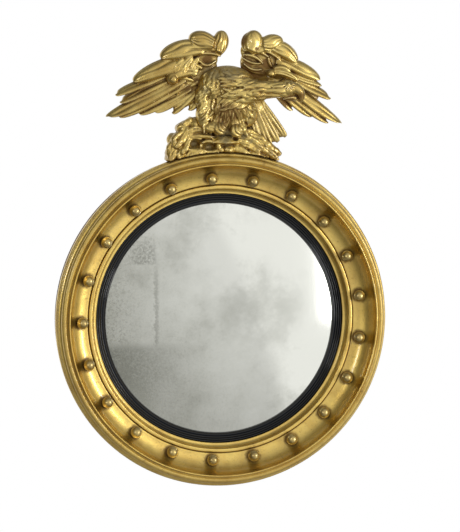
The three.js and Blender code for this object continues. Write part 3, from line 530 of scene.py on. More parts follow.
def pine(name, along, base="#8a6a43", turn=(0, 0, 0)):
    """Old bare pine: soft grain with darker late wood about 4 mm apart, browned and dry."""
    made, tree = material(name)
    place = own_place(tree)
    grain = node(tree, "ShaderNodeMapping", {"Vector": place, "Scale": [1 / a for a in along], "Rotation": turn},
                 vector_type="TEXTURE").outputs["Vector"]
    fibre = maths(tree, "MULTIPLY", noise(tree, grain, 60.0, 3.0, distortion=0.6), noise(tree, grain, 260.0, 2.0))
    wood = mix(tree, ramp(tree, fibre, 0.16, 0.36, smooth=False), "#5d4227", base)
    soiled = ramp(tree, noise(tree, place, 9.0, 5.0, 0.6), 0.42, 0.7, end=0.6, smooth=False)
    shade(tree, {"Base Color": mix(tree, soiled, wood, "#4a3823"), "Roughness": 0.78, "IOR": 1.45,
                 "Normal": bump(tree, fibre, 0.35, 0.001)})
    return made


def apply(piece, kind, **settings):
    """Adds a modifier to a piece, sets it and applies it."""
    only(piece)
    made = piece.modifiers.new(kind, kind)
    for name, value in settings.items():
        setattr(made, name, value)
    bpy.ops.object.modifier_apply(modifier=made.name)


def cut(piece, cutter):
    """Cuts one shape out of another and discards the cutter."""
    apply(piece, "BOOLEAN", operation="DIFFERENCE", solver="EXACT", object=cutter)
    bpy.data.objects.remove(cutter)


def box_between(low, high):
    """A box between two corners given as [x, height from the wall, z] in millimetres."""
    bpy.ops.object.select_all(action="DESELECT")
    middle = [(a + b) / 2 * MM for a, b in zip(low, high)]
    bpy.ops.mesh.primitive_cube_add(size=1, location=(middle[0], -middle[1], middle[2]))
    made = bpy.context.object
    made.scale = [(b - a) * MM for a, b in zip(low, high)]
    bpy.ops.object.transform_apply(location=True, rotation=True, scale=True)
    return made


def rod(middle, radius, length, turn=(math.pi / 2, 0, 0), vertices=32):
    """A round rod about [x, height from the wall, z] in millimetres, square to the wall unless it
    is turned another way."""
    bpy.ops.object.select_all(action="DESELECT")
    x, height, z = middle
    bpy.ops.mesh.primitive_cylinder_add(vertices=vertices, radius=radius * MM, depth=length * MM,
                                        location=(x * MM, -height * MM, z * MM), rotation=turn)
    bpy.ops.object.transform_apply(location=True, rotation=True, scale=True)
    return bpy.context.object


def screw_hole(x, z, head, radius, length):
    """The shape of a hole bored forward from the back, from 1 mm behind its screw's head."""
    return rod((x, head - 1 + (length + 2) / 2, z), radius, length + 2)


half_span = 180 / FELLOE_COUNT
for i in range(FELLOE_COUNT):
    middle = i * 360 / FELLOE_COUNT
    felloe = turned(f"pine_felloe_{i + 1}", [
        (236, 10.3), (262, 10.3), (262, 0.6), (262.6, 0), (299, 0), (300, 1), (300, 29.7), (236, 29.7)],
        steps=42, sweep=2 * (half_span - JOINT), start=middle - half_span + JOINT)
    if i == 0:  # the strap's recess
        cut(felloe, box_between((-13.3, -1, 267.7), (13.3, 4, 315)))
        cut(felloe, screw_hole(*STRAP_SCREWS[0], STRAP_SCREW_BACK, THREAD_RADIUS, 20))
    if i in (1, 5):  # a hanger's pocket
        side = 1 if i == 1 else -1
        cut(felloe, box_between((side * 275 - 10.85, -1, 36.8), (side * 275 + 10.85, 7, 83.4)))
        for x, z in HANGER_SCREWS:
            if x * side > 0:
                cut(felloe, screw_hole(x, z, HANGER_SCREW_BACK, THREAD_RADIUS, 13))
    smooth_below(felloe, 25)
    dress(felloe, pine(f"old pine felloe {i + 1}", along=(0.12, 1.0, 1.0), turn=(0, math.radians(middle), 0)), "pine",
          f"back_ring_segment_{i + 1}")

# ---------------------------------------------------------------- backboard
# Three thin pine planks side by side in the rebate, closing the back over the glass, each held
# by a slotted iron screw near either end.

BOARD_RADIUS, BOARD_BACK, BOARD_FRONT, BOARD_GAP = 261.4, 1.0, 10.0, 0.3
BOARD_COLOURS = ("#927049", "#87653f", "#8d6c47")
width = 2 * BOARD_RADIUS / len(BOARD_COLOURS)
for i, board_colour in enumerate(BOARD_COLOURS):
    plank = rod((0, (BOARD_BACK + BOARD_FRONT) / 2, 0), BOARD_RADIUS, BOARD_FRONT - BOARD_BACK, vertices=TURNING_STEPS)
    plank.name = f"pine_backboard_{i + 1}"
    left_edge = -BOARD_RADIUS + i * width
    for edge_x, outward in ((left_edge + BOARD_GAP / 2, -1), (left_edge + width - BOARD_GAP / 2, 1)):
        if abs(edge_x) > 0.9 * BOARD_RADIUS:  # the round edge of an outer plank
            continue
        bpy.ops.object.mode_set(mode="EDIT")
        bpy.ops.mesh.select_all(action="SELECT")
        bpy.ops.mesh.bisect(plane_co=(edge_x * MM, 0, 0), plane_no=(outward, 0, 0), use_fill=True, clear_outer=True)
        bpy.ops.object.mode_set(mode="OBJECT")
    apply(plank, "BEVEL", width=0.5 * MM, segments=2, limit_method="ANGLE")
    for x, z in BOARD_SCREWS:
        if abs(x - (left_edge + width / 2)) < width / 2:
            cut(plank, screw_hole(x, z, BOARD_SCREW_BACK, HEAD_HOLE_RADIUS, 12))
    smooth_below(plank, 30)
    dress(plank, pine(f"old pine plank {i + 1}", along=(1.0, 1.0, 0.06), base=board_colour), "pine",
          f"backboard_plank_{i + 1}")
block_pine = pine("old pine block", along=(1.0, 1.0, 0.3))
for i in range(4):
    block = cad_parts[f"glazing_block_{i + 1}"]
    block.data.materials.clear()
    block.data.materials.append(block_pine)

# ---------------------------------------------------------------- iron screws and strap
# Hand-filed slotted screws of dull iron, and a flat iron strap screwed to the felloe below and to
# the rockwork above, which carries the crest.

iron, tree = material("dull wrought iron")
scale = noise(tree, own_place(tree), 160.0, 5.0, 0.7)
rust = ramp(tree, scale, 0.5, 0.68, smooth=False)
shade(tree, {"Base Color": mix(tree, rust, "#4a4744", "#5a3a26"), "Normal": bump(tree, scale, 0.4, 0.0006),
             "Metallic": ramp(tree, rust, 0, 1, 0.9, 0.2, smooth=False),
             "Roughness": ramp(tree, rust, 0, 1, 0.45, 0.8, smooth=False)})


def slotted_screw(name, x, z, head, length, head_radius, cad_node, slot_turn):
    """A countersunk wood screw: head, tapering neck, shank and point, with a filed slot."""
    profile = [(head_radius - 0.3, 0), (head_radius, 0.3), (1.9, 2.3), (1.9, length - 4), (0.3, length)]
    bpy.ops.object.select_all(action="DESELECT")
    bpy.ops.mesh.primitive_circle_add(vertices=28, radius=profile[0][0] * MM, fill_type="NGON",
                                      location=(x * MM, -head * MM, z * MM), rotation=(math.pi / 2, 0, 0))
    made = bpy.context.object
    made.name = name
    bpy.ops.object.transform_apply(location=True, rotation=True, scale=True)
    bpy.ops.object.mode_set(mode="EDIT")
    bpy.ops.mesh.select_all(action="SELECT")
    for (r0, h0), (r1, h1) in zip(profile, profile[1:]):
        bpy.ops.mesh.extrude_region_move(TRANSFORM_OT_translate={"value": (0, -(h1 - h0) * MM, 0)})
        bpy.ops.transform.resize(value=(r1 / r0, 1, r1 / r0), center_override=(x * MM, -(head + h1) * MM, z * MM))
    bpy.ops.object.mode_set(mode="OBJECT")
    face_outward(made)
    slot_cutter = box_between((x - head_radius - 1, head - 1, z - 0.4), (x + head_radius + 1, head + 0.9, z + 0.4))
    slot_cutter.data.transform(Matrix.Translation((x * MM, 0, z * MM)) @ Matrix.Rotation(slot_turn, 4, "Y")
                               @ Matrix.Translation((-x * MM, 0, -z * MM)))
    cut(made, slot_cutter)
    smooth_below(made, 35)
    dress(made, iron, "iron", cad_node)


chance = random.Random(7)
for group, places, head, length, head_radius in (
        ("backboard_screw", BOARD_SCREWS, BOARD_SCREW_BACK, 20, 4.2),
        ("hanger_screw", HANGER_SCREWS, HANGER_SCREW_BACK, 13, 3.0),
        ("strap_screw", STRAP_SCREWS, STRAP_SCREW_BACK, 20, 4.2)):
    for i, (x, z) in enumerate(places):
        slotted_screw(f"iron_{group}_{i + 1}", x, z, head, length, head_radius, f"{group}_{i + 1}",
                      chance.uniform(0, math.pi))

strap = box_between((-13, STRAP_SCREW_BACK, 268), (13, 3.7, 338))
strap.name = "iron_crest_strap"
apply(strap, "BEVEL", width=1.2 * MM, segments=3)
for x, z in STRAP_SCREWS:
    cut(strap, screw_hole(x, z, STRAP_SCREW_BACK, HEAD_HOLE_RADIUS, 3.4))
smooth_below(strap, 35)
dress(strap, iron, "iron", "crest_strap")

# ---------------------------------------------------------------- ring hangers
# Two brass D rings that hang in the knuckles of small brass plates, let into the back so that
# the mirror can lie flat on the wall. The brass has gone brown.

brass, tree = material("tarnished brass")
age = ramp(tree, noise(tree, own_place(tree), 140.0, 4.0, 0.6), 0.4, 0.65, smooth=False)
shade(tree, {"Base Color": mix(tree, age, "#b3914d", "#5f4b28"), "Metallic": 1.0,
             "Roughness": ramp(tree, age, 0, 1, 0.32, 0.6, smooth=False)})

HANGER_X, PIVOT_Z, PIVOT_HEIGHT = 275.0, 54.0, 3.6
WIRE_RADIUS, WIRE_SIDES, RING_WIDTH, RING_DROP, BEND = 1.25, 16, 16.4, 14.5, 1.5
LEFT_TO_RIGHT = (0, math.pi / 2, 0)
for name, side in (("left", -1), ("right", 1)):
    x = side * HANGER_X
    plate = box_between((x - 6, HANGER_SCREW_BACK, PIVOT_Z), (x + 6, 6.7, PIVOT_Z + 28))
    plate.name = f"brass_hanger_plate_{name}"
    pivot = (x, PIVOT_HEIGHT, PIVOT_Z)
    knuckle = rod(pivot, 2.9, 12, turn=LEFT_TO_RIGHT)
    apply(plate, "BOOLEAN", operation="UNION", object=knuckle)
    bpy.data.objects.remove(knuckle)
    cut(plate, rod(pivot, 1.7, 20, turn=LEFT_TO_RIGHT))
    for hole_x, z in HANGER_SCREWS:
        if hole_x * side > 0:
            cut(plate, screw_hole(hole_x, z, HANGER_SCREW_BACK, 3.2, 4))
    smooth_below(plate, 30)
    dress(plate, brass, "old_brass", f"hanger_plate_{name}")

    half = RING_WIDTH / 2  # the bar, the two bends and the bow, from the bar's left end
    loop = [(-half + BEND + (RING_WIDTH - 2 * BEND) * i / 6, 0) for i in range(7)]
    loop += [(half - BEND + BEND * math.sin(a), -BEND + BEND * math.cos(a)) for a in np.radians([30, 60, 90])]
    loop += [(half * math.cos(a), half - RING_DROP + half * math.sin(a)) for a in np.linspace(0, -math.pi, 25)]
    loop += [(-half + BEND - BEND * math.cos(a), -BEND + BEND * math.sin(a)) for a in np.radians([0, 30, 60])]
    corners, faces = [], []
    for i, (a, b) in enumerate(loop):
        before, after = loop[i - 1], loop[(i + 1) % len(loop)]
        along = np.array([after[0] - before[0], after[1] - before[1]])
        along /= np.hypot(*along)
        this, following = i * WIRE_SIDES, (i + 1) % len(loop) * WIRE_SIDES
        for k in range(WIRE_SIDES):
            angle = 2 * math.pi * k / WIRE_SIDES
            out = WIRE_RADIUS * math.cos(angle)
            corners.append(((x + a - along[1] * out) * MM, -(PIVOT_HEIGHT + WIRE_RADIUS * math.sin(angle)) * MM,
                            (PIVOT_Z + b + along[0] * out) * MM))
            n = (k + 1) % WIRE_SIDES
            faces.append((this + k, this + n, following + n, following + k))
    ring = new_piece(f"brass_d_ring_{name}", corners, faces)
    face_outward(ring)
    bpy.ops.object.shade_smooth()
    dress(ring, brass, "old_brass", f"hanger_ring_{name}", body=f"{name}_ring")

# ---------------------------------------------------------------- carved wings
# Each wing is limewood carved in leaves: rolled lobes at the shoulder, fluted coverts below and
# long barbed primaries, gessoed and gilded. The leaves are laid out as [right of the middle,
# above the frame, forward of the wall] in millimetres and are shaped point by point.

# The carved work takes painted shade in its recesses and listed spots, and a painted highlight along its crests,
# besides wear, dirt and dust.
carved_gilding = gilding("water gilding on carved gesso", pale="#dfc46c", deep="#b7963f", bole_and_shade_brown="#60390f", dust=0.9,
                         recess=9.0, open_sky=0.88, shut=0.42, rough=0.35, grain=0.15, crest_wear_and_highlight=0.6, coat=0.7, washed=0.9,
                         bole_and_shade_spots=[(-28, 166, 15), (-60, 114, 17), (5, 70, 33), (34, 202, 20), (66, 144, 20),
                                 (-50, 128, 12), (116, 94, 14), (48, 162, 17), (80, 160, 14), (140, 98, 10),
                                 (-38, 62, 10), (60, 186, 11)],
                         dusted=[(4, 29, 14), (-22, 142, 16), (-36, 112, 13), (10, 152, 28), (36, 30, 12)])
rock_gilding = gilding("water gilding on the rockwork", pale="#ddbf62", deep="#ad8c3b", bole_and_shade_brown="#633d17", dust=0.8,
                       recess=8.0, open_sky=0.82, shut=0.30, rough=0.37, grain=0.3, crest_wear_and_highlight=0.3, coat=0.65, washed=0.9,
                       dusted=[(4, 26, 19), (-52, 15, 9), (-25, 9, 9), (38, 30, 12), (52, 20, 9)])


BARB_PITCH = 4.6


def shell(name, parts):
    """One object from a list of (points in crest millimetres, faces)."""
    places, faces, offset = [], [], 0
    for points, own in parts:
        for x, z, height in points:
            places.append((x * MM, -height * MM, (FRAME_RADIUS + z) * MM))
        faces += [tuple(i + offset for i in face) for face in own]
        offset += len(points)
    piece = new_piece(name, places, faces)
    face_outward(piece)
    return piece


def one_block(piece, voxel, smoothing):
    """Fuses overlapping shapes into one skin, as carving from one block leaves them."""
    apply(piece, "REMESH", mode="VOXEL", voxel_size=voxel * MM)
    apply(piece, "SMOOTH", factor=0.5, iterations=smoothing)
    bpy.ops.object.shade_smooth()


def hoops(count, sides):
    """The faces between rings of points, closed over a middle point at each end, given last."""
    faces = []
    for i in range(count - 1):
        for k in range(sides):
            n = (k + 1) % sides
            faces.append((i * sides + k, i * sides + n, (i + 1) * sides + n, (i + 1) * sides + k))
    for k in range(sides):
        n = (k + 1) % sides
        faces.append((count * sides, n, k))
        faces.append((count * sides + 1, (count - 1) * sides + k, (count - 1) * sides + n))
    return faces


def leaf(root, tip, width, rise=4.0, bow=0.0, lift=0.0, ridges=0, groove=1.2, barbs=0.0, point=2.0, neck=0.7,
         belly=0.4, edge=2.5, tilt=0.0, skew=0.0, wander=0.12, up=(0, 0, 1.0), rows=56, columns=21):
    """A carved leaf or feather. It swells from its neck to its belly and rounds off at its tip, is
    crowned across, and may bow sideways, lift forward, tilt, end askew, and carry ridges and
    barbs."""
    root, tip, up = np.array(root, float), np.array(tip, float), np.array(up, float)
    u = np.linspace(0, 1, rows)[:, None]
    v = np.linspace(-1, 1, columns)[None, :]
    run = tip - root
    length = np.linalg.norm(run)
    flat = np.cross(up, run / length)
    flat /= np.linalg.norm(flat)
    path = root + run * u + flat * bow * 4 * u * (1 - u) + up * lift * 4 * u * (1 - u)
    along = run + flat * bow * 4 * (1 - 2 * u) + up * lift * 4 * (1 - 2 * u)
    along /= np.linalg.norm(along, axis=1)[:, None]
    side = np.cross(up, along)
    side /= np.linalg.norm(side, axis=1)[:, None]
    front = np.cross(along, side)
    swell = neck + (1 - neck) * np.sin(math.pi / 2 * np.clip(u / belly, 0, 1))
    close = np.clip((u - belly) / (1 - belly), 0, 1)
    round_off = np.maximum(1 - close ** point, 0) ** (1 / point)
    half = width / 2 * swell * np.maximum(round_off, 0.03)
    crown = rise * np.maximum(round_off, 0.05) ** 0.7 * np.clip(0.55 + u / 0.25, 0, 1) * np.sqrt(1 - 0.97 * v ** 2)
    height = crown + tilt * v
    if ridges:
        winding = v + wander * np.sin(2.4 * math.pi * u + root[0] + 2 * v) * (1 - v ** 2)
        flutes = np.abs(np.sin(math.pi * ridges * (winding + 1) / 2))
        depth = groove * (0.62 + 0.38 * np.sin(6 * u + 0.3 * root[1] + 2.6 * v))
        inside = np.clip(u * 8, 0, 1) * np.clip((1 - u) * 7, 0.1, 1) * (np.abs(v) < 0.97)
        height = height - depth * (1 - flutes) ** 1.4 * inside
    if barbs:
        slant = u * length - np.abs(v) * half * 1.5
        cuts = (0.5 + 0.5 * np.cos(2 * math.pi * slant / BARB_PITCH)) ** 2
        height = height - barbs * cuts * (1 - v ** 8) * np.clip(u * 6, 0, 1)
    ends = along * (skew * u ** 3)
    top = (path[:, None, :] + side[:, None, :] * (half * v)[:, :, None] + front[:, None, :] * height[:, :, None]
           + ends[:, None, :] * v[:, :, None])
    low = np.stack([path - side * half * 0.94 - front * (edge + tilt * 0.6) - ends,
                    path + side * half * 0.94 - front * (edge - tilt * 0.6) + ends], 1)
    points = np.concatenate([top.reshape(-1, 3), low.reshape(-1, 3)])
    faces = []
    base = rows * columns
    for i in range(rows - 1):
        for k in range(columns - 1):
            a = i * columns + k
            faces.append((a, a + 1, a + columns + 1, a + columns))
        left, right = i * columns, i * columns + columns - 1
        faces.append((left, left + columns, base + 2 * i + 2, base + 2 * i))
        faces.append((right, base + 2 * i + 1, base + 2 * i + 3, right + columns))
        faces.append((base + 2 * i, base + 2 * i + 2, base + 2 * i + 3, base + 2 * i + 1))
    faces.append((*range(columns), base + 1, base))
    last = (rows - 1) * columns
    faces.append((*reversed(range(last, last + columns)), base + 2 * rows - 2, base + 2 * rows - 1))
    return points, faces


def boss(middle, half, ridges=0, groove=1.0, lean=0.0, curl=0.25, sides=60, rings=40):
    """A rounded boss, with curved ridges that sweep across it if any are asked for."""
    a = np.linspace(0, 2 * math.pi, sides, endpoint=False)[None, :]
    b = np.linspace(0, math.pi, rings)[1:-1, None]
    x, z, h = np.sin(b) * np.cos(a), np.sin(b) * np.sin(a), np.cos(b) * np.ones_like(a)
    if ridges:
        across = x * math.sin(lean) + z * math.cos(lean) + curl * (x * math.cos(lean) - z * math.sin(lean)) ** 2
        flutes = np.abs(np.sin(math.pi * ridges * (across + 1) / 2))
        reach = 1 - groove / min(half) * (1 - flutes) ** 1.4 * (h > -0.3)
    else:
        reach = np.ones_like(x)
    scaled = np.stack([x * reach * half[0], z * reach * half[1], h * reach * half[2]], -1).reshape(-1, 3)
    poles = [[0, 0, half[2] * float(reach[0].mean())], [0, 0, -half[2]]]
    return np.concatenate([scaled, poles]) + np.array(middle, float), hoops(rings - 2, sides)


def primary(root, tip, width, rise, bow, point, tilt, skew, belly):
    """A long feather with two ridges and fine barbs."""
    return leaf(root, tip, width, rise=rise, bow=bow, point=point, tilt=tilt, skew=skew, belly=belly, ridges=2,
                groove=2.6, barbs=0.25, edge=3.5, rows=120, columns=41)


dome = dict(rise=13, edge=6, rows=70, columns=51)
rim = dict(rise=4, edge=9, neck=0.5)
left_wing = shell("carved_wing_left", [
    # the block behind the leaves
    boss((-36, 184, 47), (34, 26, 8)), boss((-70, 158, 45), (40, 22, 8)), boss((-58, 132, 44), (30, 30, 8)),
    boss((-100, 134, 43), (40, 16, 7)), boss((-60, 110, 41), (30, 18, 8)), boss((-38, 98, 42), (20, 14, 8)),
    boss((-26, 152, 43), (18, 20, 8)), boss((-100, 112, 40), (52, 14, 6)), boss((-21, 168, 43), (14, 16, 9)),
    # rolled lobes at the shoulder, whose flutes meet in the notch
    boss((-40, 200, 51), (20, 15, 9)), boss((-4, 196, 51), (12, 20, 9)),
    leaf((-14, 194, 54), (-62, 206, 53), 35, ridges=5, groove=2.6, bow=-1, neck=0.6, belly=0.5, tilt=2, **dome),
    leaf((-11, 177, 53), (-3, 219, 53), 30, ridges=4, groove=2.4, bow=-3, neck=0.55, belly=0.5, **dome),
    leaf((-42, 186, 54), (-8, 196, 56), 17, ridges=3, groove=1.6, rise=8, edge=8, neck=0.6),
    boss((-19, 193, 50), (9, 17, 12)),
    # the brown cup under its pale rims
    boss((-27, 165, 43), (15, 10, 8)),
    leaf((-48, 181, 58), (3, 180, 58), 6, bow=4, **rim), leaf((-46, 176, 58), (-4, 172, 58), 6, bow=4, **rim),
    leaf((-47, 171, 56), (-12, 166, 54), 6, bow=-12, **rim),
    # broad leaves of the leading edge
    leaf((-32, 187, 53), (-114, 171, 50), 33, rise=9, bow=-7, lift=3, ridges=3, groove=3.0, belly=0.45, edge=8, rows=90,
         columns=51, tilt=4, wander=0.16),
    leaf((-56, 168, 52), (-163, 129, 46), 31, rise=9, bow=-4, lift=3, ridges=3, groove=3.0, belly=0.45, edge=7, rows=110,
         columns=51, tilt=4, wander=0.16),
    # coverts fanned over the scroll, and the smooth hollow leaf
    leaf((-86, 142, 57), (-72, 168, 60), 15, rise=5, bow=4, ridges=2, groove=2.2, edge=14, point=2.2),
    leaf((-74, 138, 58), (-56, 172, 61), 18, rise=5, bow=5, ridges=3, groove=2.2, edge=14, point=2.2),
    leaf((-58, 142, 56), (-44, 171, 59), 14, rise=5, bow=3, ridges=2, groove=2.0, edge=12, point=2.2),
    leaf((-46, 146, 57), (-90, 137, 60), 17, rise=5, ridges=2, groove=2.4, edge=14, neck=0.8, point=3, bow=-3),
    leaf((-90, 134, 56), (-52, 128, 52), 9, rise=4, edge=10, bow=3, ridges=1),
    boss((-93, 134, 56), (11.5, 12, 10)), boss((-92, 132, 64), (6.5, 7, 4)), boss((-53, 142, 58), (7, 6, 5)),
    leaf((-46, 136, 47), (-76, 98, 46), 25, rise=2.5, bow=3, edge=9, belly=0.5),
    leaf((-70, 124, 52), (-84, 102, 50), 6, rise=3.5, edge=9, bow=-2),
    leaf((-78, 127, 50), (-95, 101, 47), 16, rise=4, ridges=2, groove=1.6, edge=8),
    leaf((-38, 150, 54), (-60, 158, 57), 9, rise=5, bow=-2, ridges=1, edge=12),
    leaf((-34, 140, 53), (-46, 122, 52), 9, rise=4, bow=2, ridges=1, edge=11),
    leaf((-44, 128, 51), (-60, 118, 50), 9, rise=4, ridges=1, edge=11),
    # primaries, from the longest inward
    primary((-92, 147, 49), (-193, 106, 45), 17, 4.5, 0, 3.0, 6, 3, 0.5),
    primary((-84, 140, 48), (-184, 93, 43), 17, 4, 0, 3.0, 6, 4, 0.5),
    primary((-72, 135, 51), (-209, 65, 43), 24, 5, 3, 2.0, 5.5, -3, 0.55),
    primary((-66, 127, 49), (-186, 67, 41), 21, 4.5, 2, 2.6, 5.5, 3, 0.6),
    primary((-60, 118, 48), (-149, 72, 41), 20, 4.5, 2, 2.8, 5.5, 3, 0.6),
    primary((-54, 112, 47), (-121, 76, 43), 19, 4.5, 1, 3.0, 5.5, 3, 0.6),
    primary((-50, 110, 50), (-90, 74, 46), 18, 5, 0, 3.0, 5.5, 4, 0.6),
    primary((-40, 110, 48), (-75, 84, 44), 16, 4.5, 0, 3.0, 5, 3, 0.6),
    primary((-34, 106, 49), (-61, 79, 45), 19, 5, 0, 2.4, 5, 3, 0.6),
])
one_block(left_wing, 0.9, 2)
dress(left_wing, carved_gilding, "gilt_wood", "eagle_wing_left")

right_wing = shell("carved_wing_right", [
    boss((68, 182, 46), (34, 26, 8)), boss((84, 160, 44), (34, 24, 8)), boss((70, 142, 42), (24, 18, 7)),
    boss((120, 146, 44), (36, 22, 7)), boss((120, 120, 42), (38, 26, 7)), boss((150, 104, 41), (32, 22, 5)),
    boss((48, 160, 44), (14, 24, 8)),
    # rolled lobes at the shoulder
    boss((51, 196, 51), (17, 20, 9)), boss((88, 196, 50), (18, 14, 9)),
    leaf((49, 179, 53), (53, 218.5, 53), 38, ridges=3, groove=1.4, bow=-4, neck=0.6, belly=0.5, **dome),
    leaf((68, 192, 54), (110, 204, 50), 34, ridges=4, groove=1.9, bow=-3, neck=0.7, belly=0.45, **dome),
    leaf((58, 180, 56), (90, 190, 56), 14, ridges=2, groove=1.2, rise=7, edge=8, neck=0.6),
    # thin rims that sweep under the lobes
    leaf((38, 183, 57), (84, 170, 58), 6, bow=5, **rim), leaf((58, 184, 58), (106, 163, 57), 6, bow=6, **rim),
    leaf((38, 175, 56), (74, 158, 56), 6, bow=5, **rim),
    # the smooth cheek below them and the striped leaf
    boss((50, 162, 48), (17, 14, 4)), leaf((36, 170, 52), (76, 160, 54), 5, bow=-5, **rim),
    leaf((38, 160, 52), (74, 149, 53), 5, bow=-6, **rim),
    leaf((44, 152, 50), (88, 140, 50), 14, rise=3, ridges=3, groove=1.8, edge=9),
    # broad leaves of the leading edge
    leaf((82, 194, 53), (139, 161, 50), 28, rise=8, bow=6, lift=2, ridges=3, groove=2.6, belly=0.45, edge=8, rows=80,
         columns=51, tilt=-4, wander=0.16),
    leaf((98, 167, 52), (182, 130, 46), 25, rise=7.5, bow=3, ridges=2, groove=3.0, belly=0.5, edge=7, rows=90, columns=51,
         tilt=-4, wander=0.16),
    leaf((118, 143, 50), (185, 118, 45), 15, rise=5, ridges=2, groove=1.8, edge=7, rows=70, tilt=-3),
    # small twisted coverts round the recess
    leaf((96, 180, 54), (106, 148, 56), 8, bow=3, **rim), leaf((84, 172, 52), (94, 150, 51), 7, bow=-3, **rim),
    # the arched leaf over the head, with its curl
    leaf((78, 141, 60), (138, 127, 62), 14, rise=6, bow=8, ridges=2, groove=2.0, edge=12, neck=0.6),
    boss((87, 141, 61), (9, 8, 9)), leaf((92, 150, 60), (124, 143, 61), 9, rise=5, bow=5, ridges=1, edge=12),
    # primaries
    primary((118, 138, 49), (199, 97, 45), 18, 5, 0, 3.0, -6, -3, 0.55),
    primary((112, 132, 50), (222, 49, 43), 23, 5, -3, 1.8, -5, 3, 0.5),
    primary((106, 127, 48), (196, 53, 42), 20, 4.5, -3, 2.4, -5, -3, 0.6),
    primary((100, 121, 48), (165, 65, 41), 19, 4.5, -2, 2.6, -5, -3, 0.6),
    primary((94, 114, 47), (130, 77, 42), 19, 4.5, 0, 2.6, -5, -3, 0.6),
])
one_block(right_wing, 0.9, 2)
dress(right_wing, carved_gilding, "gilt_wood", "eagle_wing_right")

# ---------------------------------------------------------------- carved tail
# Stepped tail feathers that show behind the right leg, each a broad band with lines cut along it.

tail_gilding = gilding("worn gilding on the tail", pale="#d9bf72", deep="#a98c44", bole_and_shade_brown="#5d421e", dust=0.8,
                       recess=8.0, open_sky=0.84, shut=0.34, rough=0.42, grain=0.3, crest_wear_and_highlight=0.2, coat=0.45, flecks=0.5,
                       washed=0.9)
band = dict(ridges=3, groove=2.0, point=4.5, wander=0.06, belly=0.7, rows=90, columns=41)
tail = shell("carved_tail", [
    boss((62, 80, 43), (18, 17, 9)), boss((70, 52, 40), (22, 28, 6)), boss((54, 56, 41), (16, 24, 6)),
    leaf((68, 94, 45), (116, 25, 38), 18, rise=3, tilt=2.5, skew=2, **band),
    leaf((60, 92, 47), (101, 16, 40), 20, rise=3, tilt=2.5, skew=2, **band),
    leaf((52, 88, 49), (85, 9, 43), 23, rise=3, tilt=2.5, skew=2, **band),
    leaf((46, 80, 48), (66, 12, 44), 20, rise=3, tilt=2, **band),
])
one_block(tail, 0.9, 3)
dress(tail, tail_gilding, "gilt_wood", "eagle_tail")

# ---------------------------------------------------------------- carved body
# The eagle's body is one block of limewood: a plain back, locks of feathers that lie from the head
# down the neck on to the breast, ruffled thighs, a hooked beak, and feet that grip the rock.


def tube(places, sides=32, steps=6):
    """A round limb through [right, above, forward, radius] places, smoothed between them."""
    places = np.array(places, float)
    fine = np.linspace(0, len(places) - 1, (len(places) - 1) * steps + 1)
    slopes = np.gradient(places, axis=0)
    i = np.minimum(fine.astype(int), len(places) - 2)
    s = (fine - i)[:, None]
    smooth = ((2 * s ** 3 - 3 * s ** 2 + 1) * places[i] + (s ** 3 - 2 * s ** 2 + s) * slopes[i]
              + (-2 * s ** 3 + 3 * s ** 2) * places[i + 1] + (s ** 3 - s ** 2) * slopes[i + 1])
    middle, radius = smooth[:, :3], smooth[:, 3]
    along = np.gradient(middle, axis=0)
    along /= np.linalg.norm(along, axis=1)[:, None]
    side = np.cross((0, 0, 1.0), along)
    side /= np.linalg.norm(side, axis=1)[:, None]
    front = np.cross(along, side)
    a = np.linspace(0, 2 * math.pi, sides, endpoint=False)
    rings = (middle[:, None, :] + radius[:, None, None] * (np.cos(a)[None, :, None] * side[:, None, :]
                                                           + np.sin(a)[None, :, None] * front[:, None, :]))
    points = np.concatenate([rings.reshape(-1, 3), middle[:1], middle[-1:]])
    return points, hoops(len(middle), sides)


NECK = [(24, 110, 60, 22), (50, 111, 65, 19.5), (76, 112, 71, 16.5), (100, 113, 76, 14.5), (114, 114, 78, 13)]
LUMPS = [((8, 118, 52), (54, 38, 28)), ((32, 109, 62), (43, 26, 21)), ((12, 82, 54), (46, 28, 24)),
         ((-36, 98, 50), (17, 24, 19)), ((-37, 66, 54), (13, 26, 16)), ((45, 69, 50), (19, 26, 17)),
         ((4, 58, 54), (38, 22, 16))]
ROUNDS = [((x, z, h), (r, r, r)) for (x, z, h, r) in
          [tuple(np.array(a) + (np.array(b) - np.array(a)) * t)
           for a, b in zip(NECK, NECK[1:]) for t in (0, 0.33, 0.67)]]


def skin(x, z):
    """How far forward the plain body stands at a place, or None off its outline."""
    heights = [h + c * math.sqrt(1 - ((x - mx) / a) ** 2 - ((z - mz) / b) ** 2)
               for (mx, mz, h), (a, b, c) in LUMPS + ROUNDS if ((x - mx) / a) ** 2 + ((z - mz) / b) ** 2 < 0.995]
    return max(heights) if heights else None


def lock(x, z, heading, length, width, rise=2.4, stand=2.0, ridges=2, groove=0.9, bow=0.0, point=1.5):
    """A lock of feathers that lies on the body from its root along a heading in degrees."""
    run = (length * math.cos(math.radians(heading)), length * math.sin(math.radians(heading)))
    root, middle, end = skin(x, z), skin(x + run[0] / 2, z + run[1] / 2), skin(x + run[0], z + run[1])
    if root is None or middle is None or end is None:
        return None
    across = [skin(x + run[0] / 2 + dx, z + run[1] / 2 + dz) for dx, dz in ((-3, 0), (3, 0), (0, -3), (0, 3))]
    if None in across:
        return None
    up = np.array([across[0] - across[1], across[2] - across[3], 6.0])
    up /= np.linalg.norm(up)
    start, stop = root - 2.0, end + stand
    lift = (middle - (start + stop) / 2) * 0.8 + 1.0
    return leaf((x, z, start), (x + run[0], z + run[1], stop), width, rise=rise, lift=lift, bow=bow, ridges=ridges,
                groove=groove, point=point, neck=0.45, belly=0.45, edge=3.5, up=up, rows=30, columns=17)


